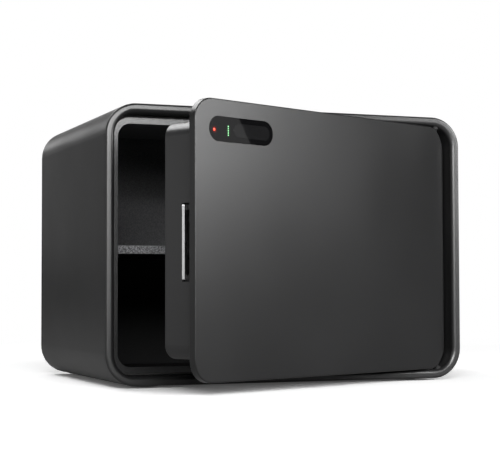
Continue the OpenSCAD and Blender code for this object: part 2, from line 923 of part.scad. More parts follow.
module gearbox() {
    color("gray") on_door() difference() {
        translate([pinion_x - box_w / 2, plate_back, pinion_z - box_h / 2])
            cube([box_w, box_d, box_h]);
        rod_y(pinion_x, box_back - shaft_in - 1, pinion_z, shaft_r + run_gap, shaft_in + 2);
    }
}

motor_y = plate_back + motor_r + motor_gap;
motor_z = pinion_z - motor_drop;

module motor() {
    color(steel) on_door() translate([pinion_x + box_w / 2, motor_y, motor_z]) rotate([0, 90, 0]) {
        cylinder(h = motor_l, r = motor_r);
        cylinder(h = motor_l + motor_boss_l, r = motor_boss_r);
    }
}

module bolt_guides() {
    color("gray") on_door() for (s = [0, 1])
        translate([0, 0, bolt_z]) mirror([0, 0, s]) difference() {
            translate([guide_x, plate_back, bolt_h / 2 - guide_bite])
                cube([guide_l, bolt_back + slide_gap + guide_back_t - plate_back, guide_h]);
            translate([guide_x - 1, bolt_front - slide_gap, bolt_h / 2 - guide_bite - 1])
                cube([guide_l + 2, bolt_t + 2 * slide_gap, guide_bite + 1 + slide_gap]);
            // Step over the door box's foot
            translate([guide_x - 1, plate_back - 1, bolt_h / 2 - guide_bite - 1])
                cube([pan_l + pan_t + seat_w + slide_gap - guide_x + 1, seat_t + slide_gap + 1,
                    guide_h + 2]);
        }
}

// Rack tooth on its pitch line, pointing down
module rack_tooth() {
    half = rack_step / 4 - backlash / 2;
    slope = tan(press_angle);
    tip = half - tip_add * slope;
    root = half + root_ded * slope;
    polygon([[-tip, -tip_add], [tip, -tip_add], [root, root_ded + 0.01], [-root, root_ded + 0.01]]);
}

module lock_bolt() {
    color(steel) on_door() upright(bolt_front, bolt_t) {
        difference() {
            translate([bolt_tip, bolt_z0]) square([head_l, bolt_h]);
            for (s = [0, 1]) translate([bolt_tip, bolt_z]) mirror([0, s])
                translate([0, -bolt_h / 2]) soft_corner(bolt_edge);
        }
        translate([bolt_tip + head_l - 1, pitch_z + root_ded])
            square([tongue_x1 - bolt_tip - head_l + 1, tongue_h]);
        for (i = [0:rack_teeth - 1])
            translate([rack_x0 + (i + 0.5) * rack_step, pitch_z]) rack_tooth();
    }
}

// Involute flanks, worked out from the base circle
function involute(a) = tan(a) * 180 / PI - a;
function flank(r, base_r, half) = half + involute(press_angle) - involute(acos(min(1, base_r / r)));

module pinion_outline() {
    base_r = pitch_r * cos(press_angle);
    root_r = pitch_r - root_ded;
    tip_r = pitch_r + tip_add;
    half = 90 / teeth - backlash / 2 / pitch_r * 180 / PI;
    steps = 5;
    radii = [for (i = [0:steps]) base_r + (tip_r - base_r) * i / steps];
    polygon([for (k = [0:teeth - 1]) let (mid = 90 + k * 360 / teeth) each concat(
        [root_r * [cos(mid - flank(base_r, base_r, half)), sin(mid - flank(base_r, base_r, half))]],
        [for (r = radii) let (a = mid - flank(r, base_r, half)) r * [cos(a), sin(a)]],
        [for (i = [steps:-1:0]) let (r = radii[i], a = mid + flank(r, base_r, half)) r * [cos(a), sin(a)]],
        [root_r * [cos(mid + flank(base_r, base_r, half)), sin(mid + flank(base_r, base_r, half))]]
    )]);
}

module drive_pinion() {
    color("gold") on_door() translate([pinion_x, 0, pinion_z])
        upright(bolt_front - pinion_side, pinion_face) difference() {
            pinion_outline();
            circle(shaft_r + run_gap);
        }
}

module output_shaft() {
    color(steel) on_door() rod_y(pinion_x, box_back - shaft_in, pinion_z, shaft_r,
        bolt_back + pinion_side + shaft_out - box_back + shaft_in);
}

// Setup button and its switch

module setup_button() {
    color("red") on_door() {
        rod_y(button_x, cover_in - rim_gap - button_rim_t, button_z, button_r + button_rim, button_rim_t);
        rod_y(button_x, cover_in - rim_gap - button_rim_t, button_z, button_r,
            rim_gap + button_rim_t + cover_t + button_proud);
    }
}

module switch_housing() {
    r = button_r + button_rim + slide_gap;
    color(black) on_door() difference() {
        rod_y(button_x, cover_in - switch_d, button_z, r + switch_wall, switch_d);
        rod_y(button_x, cover_in - switch_d + switch_wall, button_z, r, switch_d);
    }
}

// Wires

function bezier(p, t) = pow(1 - t, 3) * p[0] + 3 * pow(1 - t, 2) * t * p[1]
    + 3 * (1 - t) * t * t * p[2] + pow(t, 3) * p[3];
function unit(v) = v / norm(v);

// A round wire along a cubic curve through four control points
module wire(p, r, rings = 14, sides = 8) {
    pts = [for (i = [0:rings - 1]) bezier(p, i / (rings - 1))];
    dirs = [unit(p[1] - p[0]), for (i = [1:rings - 2]) unit(pts[i + 1] - pts[i - 1]),
        unit(p[3] - p[2])];
    up = [0.31, 0.17, 0.93];
    ring = [for (i = [0:rings - 1]) let (u = unit(cross(dirs[i], up)), v = cross(dirs[i], u))
        each [for (k = [0:sides - 1])
            pts[i] + r * (cos(k * 360 / sides) * u + sin(k * 360 / sides) * v)]];
    walls = [for (i = [0:rings - 2], k = [0:sides - 1])
        let (a = i * sides + k, b = i * sides + (k + 1) % sides)
            each [[a, b, b + sides], [a, b + sides, a + sides]]];
    ends = [[for (k = [sides - 1:-1:0]) k],
        [for (k = [0:sides - 1]) (rings - 1) * sides + k]];
    polyhedron(points = ring, faces = concat([for (f = walls) [f[0], f[2], f[1]]],
        [for (f = ends) [for (i = [len(f) - 1:-1:0]) f[i]]]));
}

lead_r = 0.8;
lead_gap = 2.4;
lead_clear = 0.2;
lead_bend = 12;
motor_bend = 6;
motor_lead_z = 3;
motor_lead_y = 3.5;
holder_lead_x = 8;
holder_lead_y = 6;

// From the board's plug, over and down into the top of the battery holder
module battery_leads() {
    x0 = board_x0 + battery_plug[0] + battery_plug[2] + lead_clear;
    y0 = board_back + battery_plug[4] / 2;
    y1 = cover_in - holder_d + holder_lead_y;
    z1 = holder_cz + holder_h / 2 + holder_t + lead_clear;
    color("firebrick") on_door() for (s = [-1, 1]) {
        z0 = board_z0 + battery_plug[1] + battery_plug[3] / 2 + s * lead_gap;
        x1 = holder_cx - holder_w / 2 + holder_lead_x + s * lead_gap;
        wire([[x0, y0, z0], [x0 + lead_bend, y0, z0], [x1, y1, z1 + lead_bend], [x1, y1, z1]], lead_r);
    }
}

module motor_leads() {
    x0 = pinion_x + box_w / 2 + motor_l + lead_clear;
    y0 = motor_y + motor_lead_y;
    x1 = board_x0 + motor_plug[0] - lead_clear;
    y1 = board_back + motor_plug[4] / 2;
    color("royalblue") on_door() for (s = [-1, 1]) {
        z0 = motor_z + s * motor_lead_z;
        z1 = board_z0 + motor_plug[1] + motor_plug[3] / 2 + s * lead_gap;
        wire([[x0, y0, z0], [x0 + motor_bend, y0, z0], [x1 - motor_bend, y1, z1], [x1, y1, z1]],
            lead_r);
    }
}

// A flat ribbon from the finger panel's housing, across and down to the board's first plug
ribbon_w = 9;
ribbon_t = 0.5;
ribbon_lift = 0.2;
ribbon_drop = 7;
ribbon_end = 0.1;

module sensor_ribbon() {
    y = board_back + ribbon_lift;
    x0 = housing_x + housing_w + ribbon_end;
    x1 = board_x0 + ribbon_plug[0] + (ribbon_plug[2] - ribbon_w) / 2;
    z0 = board_z0 + ribbon_plug[1] + ribbon_plug[3] + ribbon_end;
    z1 = panel_cz - ribbon_drop;
    color("khaki") on_door() {
        translate([x0, y, z1]) cube([x1 + ribbon_w - x0, ribbon_t, ribbon_w]);
        translate([x1, y, z0]) cube([ribbon_w, ribbon_t, z1 + 1 - z0]);
    }
}

outer_shell();
back_panel();
front_bezel();
strike_frame();
strike_plate();
strike_screws();
door_seal();
wall_lining();
floor_mat();
shelf();
shelf_felt();
shelf_brackets();
bracket_studs();
feet();
hinge_bushes();
door_plate();
hinge_pins();
door_pan();
pan_cover();
cover_screws();
sensor_housing();
sensor_lens();
finger_pad();
alert_lamp();
charge_lamps();
control_board();
board_chips();
board_posts();
battery_holder();
battery_contacts();
battery_cells();
gearbox();
motor();
bolt_guides();
switch_housing();
battery_leads();
motor_leads();
sensor_ribbon();
lock_bolt();
drive_pinion();
output_shaft();
setup_button();
battery_cover();
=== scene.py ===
"""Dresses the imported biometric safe: a painted steel case, a hinged door, its lock and its electronics.

Lengths are in metres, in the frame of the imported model: +Z up, the front faces -Y, and the origin is the
middle of the case's underside. Pieces of the door are worked out for the closed door, and then turned
about the hinge to where the door stands.
"""
import json
import logging
import math
from dataclasses import dataclass
from enum import Enum
from typing import Iterable, Union

import bmesh
import bpy
import numpy as np
from mathutils import Matrix, Vector


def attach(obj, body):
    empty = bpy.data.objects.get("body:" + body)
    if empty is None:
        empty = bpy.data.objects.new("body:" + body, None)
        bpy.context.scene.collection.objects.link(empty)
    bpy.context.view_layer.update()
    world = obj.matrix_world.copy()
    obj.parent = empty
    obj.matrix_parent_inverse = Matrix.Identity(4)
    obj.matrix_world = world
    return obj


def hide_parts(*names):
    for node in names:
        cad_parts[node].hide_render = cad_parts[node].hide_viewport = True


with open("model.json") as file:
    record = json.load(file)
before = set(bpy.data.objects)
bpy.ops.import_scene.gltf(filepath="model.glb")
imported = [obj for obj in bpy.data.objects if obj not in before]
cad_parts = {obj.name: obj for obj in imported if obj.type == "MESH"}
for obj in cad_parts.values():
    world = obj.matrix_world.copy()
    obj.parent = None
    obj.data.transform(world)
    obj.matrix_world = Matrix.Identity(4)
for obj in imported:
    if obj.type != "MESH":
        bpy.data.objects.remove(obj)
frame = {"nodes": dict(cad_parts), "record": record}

LOG = logging.getLogger("safe")
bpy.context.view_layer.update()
MM = 0.001
HINGE = np.array([0.152, -0.1195, 0.0])
AJAR = math.radians(23.7)
QUARTER = math.pi / 2
WELD = 1e-7  # distance under which points are one
DISH_REACH = 0.985  # share of a plate's corner radius that its dish takes

Colour = tuple[float, float, float]
Point = tuple[float, float, float]
Pair = tuple[float, float]
Grid = np.ndarray  # rows x columns x 3, whose last column joins the first
Node = bpy.types.Node
Socket = bpy.types.NodeSocket
Term = Union[Socket, float, tuple]
X_AXIS: Point = (1.0, 0.0, 0.0)
Y_AXIS: Point = (0.0, 1.0, 0.0)
Z_AXIS: Point = (0.0, 0.0, 1.0)


class Body(str, Enum):
    """The bodies that pieces ride on."""

    CASE = "case"
    DOOR = "door"


class Grain(Enum):
    """How a finish's surface is roughened, by the names of the shared node groups."""

    PEEL = "powder_peel"
    FIBRE = "matted_fibre"
    LINES = "brushed_lines"


# Shader building


class Tree:
    """A node tree that is being filled."""

    def __init__(self, tree: bpy.types.NodeTree) -> None:
        """Keeps the tree and empties it."""
        self.tree = tree
        tree.nodes.clear()

    def feed(self, socket: Socket, value: Term) -> None:
        """Links or sets an input.

        Args:
            socket: The input.
            value: A socket, a number, a vector or an RGB colour.
        """
        if isinstance(value, Socket):
            self.tree.links.new(value, socket)
        elif socket.type == "RGBA":
            socket.default_value = (*value, 1)
        else:
            socket.default_value = value

    def add(self, kind: str, **values: Term) -> Node:
        """Adds one node.

        Args:
            kind: The node's type name, less its ShaderNode.
            values: Properties by their names, and inputs by their names with _ for a space.

        Returns:
            The node.
        """
        node = self.tree.nodes.new(kind if kind.startswith("NodeGroup") else "ShaderNode" + kind)
        for name, value in values.items():
            socket = node.inputs.get(name.replace("_", " "))
            if socket is None:
                setattr(node, name, value)
            else:
                self.feed(socket, value)
        return node

    def maths(self, operation: str, *terms: Term, kind: str = "Math") -> Socket:
        """Adds a node that computes a number.

        Args:
            operation: Its operation.
            terms: One to three sockets or values.
            kind: Math or VectorMath.

        Returns:
            The number.
        """
        node = self.add(kind, operation=operation)
        for socket, term in zip(node.inputs, terms):
            self.feed(socket, term)
        return node.outputs["Value"]

    def blend(self, mask: Term, first: Term, second: Term) -> Socket:
        """Mixes two colours.

        Args:
            mask: Share of the second.
            first: The colour at 0.
            second: The colour at 1.

        Returns:
            The mix.
        """
        node = self.add("Mix", data_type="RGBA")
        for index, value in ((0, mask), (6, first), (7, second)):
            self.feed(node.inputs[index], value)
        return node.outputs[2]

    def mix(self, mask: Socket, first: Node, second: Node) -> Node:
        """Mixes two shaders.

        Args:
            mask: Share of the second.
            first: The shader at 0.
            second: The shader at 1.

        Returns:
            The mix's node.
        """
        node = self.add("MixShader", Fac=mask)
        self.feed(node.inputs[1], first.outputs[0])
        self.feed(node.inputs[2], second.outputs[0])
        return node

    def ramp(self, value: Socket, low: float, high: float, kind: str = "SMOOTHSTEP") -> Socket:
        """Returns the value with low to high stretched into 0 to 1, clipped."""
        return self.add("MapRange", interpolation_type=kind, Value=value, From_Min=low,
                        From_Max=high).outputs[0]

    def noise(self, place: Socket, scale: Term, detail: float, **more: float) -> Socket:
        """Returns the factor of a noise texture."""
        return self.add("TexNoise", Vector=place, Scale=scale, Detail=detail, **more).outputs[0]

    def parts(self, place: Socket) -> bpy.types.NodeOutputs:
        """Returns the sockets of a vector's x, y and z."""
        return self.add("SeparateXYZ", Vector=place).outputs

    def rays(self) -> tuple[Socket, Socket]:
        """Returns a mask of the eye's rays, and one of mirror and see-through rays."""
        paths = self.add("LightPath").outputs
        return paths["Is Camera Ray"], self.maths("MAXIMUM", paths["Is Glossy Ray"],
                                                  paths["Is Transmission Ray"])

    def closed_door(self) -> Socket:
        """Returns object coordinates turned back to the closed door."""
        shift = Vector(HINGE) - Matrix.Rotation(AJAR, 3, "Z") @ Vector(HINGE)
        return self.add("Mapping", vector_type="TEXTURE", Location=shift, Rotation=(0.0, 0.0, AJAR),
                        Vector=self.add("TexCoord").outputs["Object"]).outputs[0]


def grain_group(grain: Grain) -> bpy.types.NodeTree:
    """Finds a grain's node group, which the first call builds.

    Args:
        grain: The grain.

    Returns:
        The group, which takes Place and Cells, and puts out Height and a Change over the surface.
    """
    group = bpy.data.node_groups.get(grain.value)
    if group is not None:
        return group
    group = bpy.data.node_groups.new(grain.value, "ShaderNodeTree")
    for name, way, kind in (("Place", "INPUT", "Vector"), ("Cells", "INPUT", "Float"),
                            ("Height", "OUTPUT", "Float"), ("Change", "OUTPUT", "Float")):
        group.interface.new_socket(name=name, in_out=way, socket_type="NodeSocket" + kind)
    tree = Tree(group)
    given = tree.add("NodeGroupInput").outputs
    place, cells = given["Place"], given["Cells"]
    if grain is Grain.PEEL:  # a powder coat's orange peel, two noises, and a slow drift
        fine = tree.noise(place, tree.maths("MULTIPLY", cells, 2.7), 1.0)
        height = tree.maths("MULTIPLY_ADD", fine, 0.33, tree.noise(place, cells, 2.0))
        change = tree.ramp(tree.noise(place, 9.0, 3.0), 0.3, 0.7)
    elif grain is Grain.FIBRE:  # wrinkles, and light and dark flecks
        flecks = tree.noise(place, tree.maths("MULTIPLY", cells, 0.55), 2.0, Distortion=0.8)
        height = tree.noise(place, cells, 4.0, Roughness=0.65, Distortion=1.4)
        change = tree.ramp(flecks, 0.42, 0.58)
    else:  # lines, for a place that was squeezed, and their streaks
        height = tree.noise(place, cells, 3.0)
        change = tree.ramp(height, 0.3, 0.7)
    tree.add("NodeGroupOutput", Height=height, Change=change)
    return group


def new_material(name: str) -> tuple[bpy.types.Material, Tree]:
    """Makes a material.

    Args:
        name: Its name.

    Returns:
        The material and its empty tree.
    """
    made = bpy.data.materials.new(name)
    made.use_nodes = True
    return made, Tree(made.node_tree)


# Finishes


@dataclass(frozen=True)
class Finish:
    """A surface finish of the safe, made with procedural nodes on Object coordinates.

    Its name is a material slot of the record, or a node that differs from its slot.
    """

    name: str
    colour: Colour
    roughness: float = 0.5
    metallic: float = 0.0
    specular: float = 0.5
    grain: Grain = Grain.PEEL
    cells: float = 1400.0  # of the grain in a metre
    depth: float = 0.00004  # of the grain
    drift: float = 0.06  # share by which tone and roughness change over the surface
    stretch: Point = (1.0, 1.0, 1.0)
    sheen: float = 0.0

    def shade(self) -> bpy.types.Material:
        """Finds the material, which the first call builds.

        Returns:
            The material.
        """
        made = bpy.data.materials.get("finish_" + self.name)
        if made is not None:
            return made
        made, tree = new_material("finish_" + self.name)
        place = tree.add("TexCoord").outputs["Object"]
        if self.stretch != (1.0, 1.0, 1.0):
            place = tree.add("Mapping", Vector=place, Scale=self.stretch).outputs[0]
        height, change = tree.add("Group", node_tree=grain_group(self.grain), Place=place,
                                  Cells=self.cells).outputs
        swing = tree.maths("MULTIPLY_ADD", change, 2 * self.drift, 1 - self.drift)
        shader = tree.add("BsdfPrincipled", Base_Color=self.tone(tree, place, change),
                          Metallic=self.metallic, Specular_IOR_Level=self.specular,
                          Roughness=self.rough(tree, place, tree.maths("MULTIPLY", swing, self.roughness)),
                          Normal=tree.add("Bump", Height=height, Distance=self.depth).outputs[0],
                          Sheen_Weight=self.sheen, **self.shine(tree))
        tree.add("OutputMaterial", Surface=shader.outputs[0])
        return made

    def tone(self, tree: Tree, place: Socket, change: Socket) -> Socket:
        """Mixes the base colour, which drifts between a darker and a lighter tone.

        Args:
            tree: The material's tree.
            place: Object coordinates, not used here.
            change: The grain's slow change.

        Returns:
            The colour.
        """
        ends = (tuple(min(1.0, c * (1 + way * self.drift)) for c in self.colour) for way in (-1, 1))
        return tree.blend(change, *ends)

    def rough(self, tree: Tree, place: Socket, rough: Socket) -> Socket:
        """Returns the roughness."""
        return rough

    def shine(self, tree: Tree) -> dict[str, Term]:
        """Returns the inputs for the light that the surface gives, which most don't."""
        return {}


@dataclass(frozen=True)
class Glow(Finish):
    """A lamp's lens that shines."""

    strength: float = 2.0
    light: Colour = (1.0, 0.1, 0.05)

    def shine(self, tree: Tree) -> dict[str, Term]:
        """Returns the inputs for the light that the lens gives."""
        return {"Emission_Color": self.light, "Emission_Strength": self.strength}


@dataclass(frozen=True)
class ShellPaint(Finish):
    """Paint of the outer shell, duller on its flat top."""

    top: float = 0.2458  # height at which the duller paint begins
    full: float = 0.2478  # height at which it is full
    top_roughness: float = 0.85

    def rough(self, tree: Tree, place: Socket, rough: Socket) -> Socket:
        """Returns the roughness, raised above the rounded edges."""
        share = tree.ramp(tree.parts(place)[2], self.top, self.full, "LINEAR")
        return tree.maths("MAXIMUM", rough, tree.maths("MULTIPLY", share, self.top_roughness))


@dataclass(frozen=True)
class WallClothPaintedShade(Finish):
    """Lining of the walls, with black painted shade under the shelf."""

    shelf: float = 0.118  # height below which the cloth is painted black as shade
    # colour of the painted shade
    black: Colour = (0.028, 0.028, 0.0285)

    def tone(self, tree: Tree, place: Socket, change: Socket) -> Socket:
        """Returns the base colour, swapped for the painted shade's black under the shelf."""
        above = tree.maths("GREATER_THAN", tree.parts(place)[2], self.shelf)
        return tree.blend(above, self.black, super().tone(tree, place, change))


@dataclass(frozen=True)
class PanelGlossPaintedGlow(Finish):
    """Gloss black window, with a painted glow round the lamps."""

    # x, z and half height of each on the closed door, the reach of its painted glow, and the glow's colour
    lamps: tuple[tuple[float, float, float, float, Colour], ...] = (
        (-0.1433, 0.2133, 0.0, 0.0038, (0.30, 0.012, 0.008)),
        (-0.1276, 0.2133, 0.0034, 0.0027, (0.006, 0.06, 0.016)),
    )

    def shine(self, tree: Tree) -> dict[str, Term]:
        """Mixes the painted glow, which falls from each lamp as the square of 1 - distance / reach.

        Args:
            tree: The material's tree.

        Returns:
            The shader's inputs for it.
        """
        x, _, z = tree.parts(tree.closed_door())
        glow: Term = (0.0, 0.0, 0.0)
        for lamp_x, lamp_z, half, reach, light in self.lamps:
            across = tree.maths("SUBTRACT", x, lamp_x)
            up = tree.maths("ABSOLUTE", tree.maths("SUBTRACT", z, lamp_z))
            up = tree.maths("MAXIMUM", tree.maths("SUBTRACT", up, half), 0.0)
            square = tree.maths("MULTIPLY_ADD", across, across, tree.maths("MULTIPLY", up, up))
            fall = tree.maths("SUBTRACT", 1.0, tree.maths("DIVIDE", tree.maths("SQRT", square), reach))
            near = tree.maths("POWER", tree.maths("MAXIMUM", fall, 0.0), 2.0)
            # painted glow of this lamp, which the window gives out as light
            glow = tree.blend(near, glow, light)
        return {"Emission_Color": glow, "Emission_Strength": 1.0}


@dataclass(frozen=True)
class BoardFinish(Finish):
    """Lacquered circuit board with raised tracks in a lighter green."""

    track: Colour = (0.020, 0.15, 0.05)
    pitch: float = 0.00254  # between tracks

    def tone(self, tree: Tree, place: Socket, change: Socket) -> Socket:
        """Mixes in the tracks, as the joints of bricks on the closed door's axes.

        Args:
            tree: The material's tree.
            place: Object coordinates, not used here.
            change: The grain's slow change, not used here.

        Returns:
            The colour.
        """
        x, _, z = tree.parts(tree.closed_door())
        across = tree.add("CombineXYZ", X=x, Y=z).outputs[0]
        bricks = tree.add("TexBrick", Vector=across, Scale=1 / self.pitch, Mortar_Size=0.06,
                          Mortar_Smooth=0.1, Brick_Width=3.0, Row_Height=0.5, offset=0.37, squash=0.6,
                          squash_frequency=3)
        return tree.blend(bricks.outputs["Fac"], self.colour, self.track)


@dataclass(frozen=True)
class CellWrap(Finish):
    """Plain printed wrap of a battery cell, with a dark ring near each end."""

    ring: Colour = (0.02, 0.02, 0.02)
    middle: float = 0.0601  # of the cells, along the closed door
    reach: float = 0.0185  # of the ring from the middle
    wide: float = 0.0016

    def tone(self, tree: Tree, place: Socket, change: Socket) -> Socket:
        """Mixes in the rings.

        Args:
            tree: The material's tree.
            place: Object coordinates, not used here.
            change: The grain's slow change, not used here.

        Returns:
            The colour.
        """
        along = tree.parts(tree.closed_door())[0]
        away = tree.maths("ABSOLUTE", tree.maths("SUBTRACT", along, self.middle))
        band = tree.maths("MULTIPLY", tree.maths("GREATER_THAN", away, self.reach),
                          tree.maths("LESS_THAN", away, self.reach + self.wide))
        return tree.blend(band, self.colour, self.ring)


CHARCOAL: Colour = (0.018, 0.018, 0.0185)
FINISH: dict[str, Finish] = {f.name: f for f in (
    ShellPaint("outer_shell", CHARCOAL, 0.36, specular=0.45),
    Finish("case_paint", CHARCOAL, 0.36, specular=0.45),
    Finish("bezel_paint", (0.011, 0.011, 0.0113), 0.30, specular=0.72),
    Finish("frame_paint", (0.008, 0.008, 0.0083), 0.25, specular=0.65),
    Finish("door_paint", (0.006, 0.006, 0.0063), 0.30, depth=2e-5),
    Finish("pan_paint", CHARCOAL, 0.33),
    Finish("bright_steel", (0.93, 0.93, 0.94), 0.26, 1.0, grain=Grain.LINES, stretch=(1.0, 1.0, 0.03),
           depth=4e-6),
    Finish("zinc_steel", (0.62, 0.63, 0.66), 0.36, 1.0, cells=900.0, depth=1e-5),
    Finish("dark_steel", (0.16, 0.16, 0.165), 0.38, 1.0, cells=900.0, depth=1e-5),
    Finish("hinge_pins", (0.025, 0.025, 0.026), 0.5, 1.0, depth=1e-5),
    Finish("bronze", (0.52, 0.33, 0.14), 0.32, 1.0, cells=1200.0, depth=1e-5),
    Finish("hinge_bushes", (0.010, 0.010, 0.010), 0.6, specular=0.3),
    Finish("tinned", (0.72, 0.71, 0.69), 0.28, 1.0, cells=900.0, depth=5e-6),
    Finish("rubber", (0.012, 0.012, 0.012), 0.62, specular=0.35, cells=2400.0),
    WallClothPaintedShade("wall_lining", (0.12, 0.12, 0.123), 0.95, specular=0.1, grain=Grain.FIBRE, cells=2600.0,
              depth=0.0003, drift=0.25, sheen=0.12),
    # the mat's black is painted shade of the lower compartment
    Finish("floor_mat", (0.020, 0.020, 0.020), 0.95, specular=0.1, grain=Grain.FIBRE, cells=2600.0,
           depth=0.0003, drift=0.25),
    Finish("grey_felt", (0.22, 0.22, 0.228), 0.95, specular=0.1, grain=Grain.FIBRE, cells=1500.0,
           depth=0.0005, drift=0.62, sheen=0.2),
    Finish("black_plastic", (0.014, 0.014, 0.015), 0.48, cells=2800.0, depth=3e-5),
    Finish("grey_plastic", (0.17, 0.17, 0.175), cells=2600.0, depth=3e-5),
    Finish("bolt_guides", (0.008, 0.008, 0.008), 0.6, specular=0.3),
    # gloss black window, with a painted glow round its lamps
    PanelGlossPaintedGlow("gloss_lens", (0.003, 0.003, 0.0033), 0.018, cells=120.0, depth=5e-7, drift=0.15),
    Finish("pad_gloss", (0.009, 0.009, 0.0094), 0.022, cells=160.0, depth=5e-7, drift=0.2),
    Glow("red_lamp", (0.5, 0.03, 0.02), 0.3, strength=1.3, light=(1.0, 0.075, 0.03)),
    Glow("green_lamp", (0.1, 0.5, 0.15), 0.3, strength=1.45, light=(0.50, 1.0, 0.55)),
    BoardFinish("board_green", (0.010, 0.085, 0.030), 0.32, cells=500.0, depth=1e-5),
    CellWrap("cell_wrap", (0.42, 0.20, 0.04), 0.3, cells=300.0, depth=1e-5),
    Finish("red_wire", (0.42, 0.015, 0.012), 0.38, cells=1500.0),
    Finish("blue_wire", (0.015, 0.06, 0.42), 0.38, cells=1500.0),
    Finish("ribbon", (0.55, 0.50, 0.38), 0.42, cells=600.0),
    Finish("button_red", (0.50, 0.02, 0.015), 0.35, cells=1500.0),
)}


# Studio


def placed(name: str, data: bpy.types.ID) -> bpy.types.Object:
    """Makes an object and links it to the scene.

    Args:
        name: Its name.
        data: Its mesh, lamp or camera.

    Returns:
        The object.
    """
    piece = bpy.data.objects.new(name, data)
    bpy.context.scene.collection.objects.link(piece)
    return piece


@dataclass(frozen=True)
class Softbox:
    """A flat studio lamp that points at the safe."""

    name: str
    azimuth: float  # degrees from +X towards +Y
    elevation: float  # degrees above the floor
    distance: float  # from the aim
    width: float
    height: float
    radiance: float
    lean: float = 0.0  # degrees about the line to the aim
    aim: Point = (0.0, -0.05, 0.12)

    def hang(self) -> None:
        """Makes the lamp. Its power is radiance x pi x face area."""
        lamp = bpy.data.lights.new(self.name, "AREA")
        lamp.shape = "RECTANGLE"
        lamp.size, lamp.size_y = self.width, self.height
        lamp.energy = self.radiance * math.pi * self.width * self.height
        piece = placed(self.name, lamp)
        turn, rise = math.radians(self.azimuth), math.radians(self.elevation)
        away = Vector((math.cos(turn) * math.cos(rise), math.sin(turn) * math.cos(rise), math.sin(rise)))
        piece.location = Vector(self.aim) + away * self.distance
        leaned = Matrix.Rotation(math.radians(self.lean), 3, "Z")
        piece.rotation_euler = ((-away).to_track_quat("-Z", "Y").to_matrix() @ leaned).to_euler()
        piece.visible_camera = False


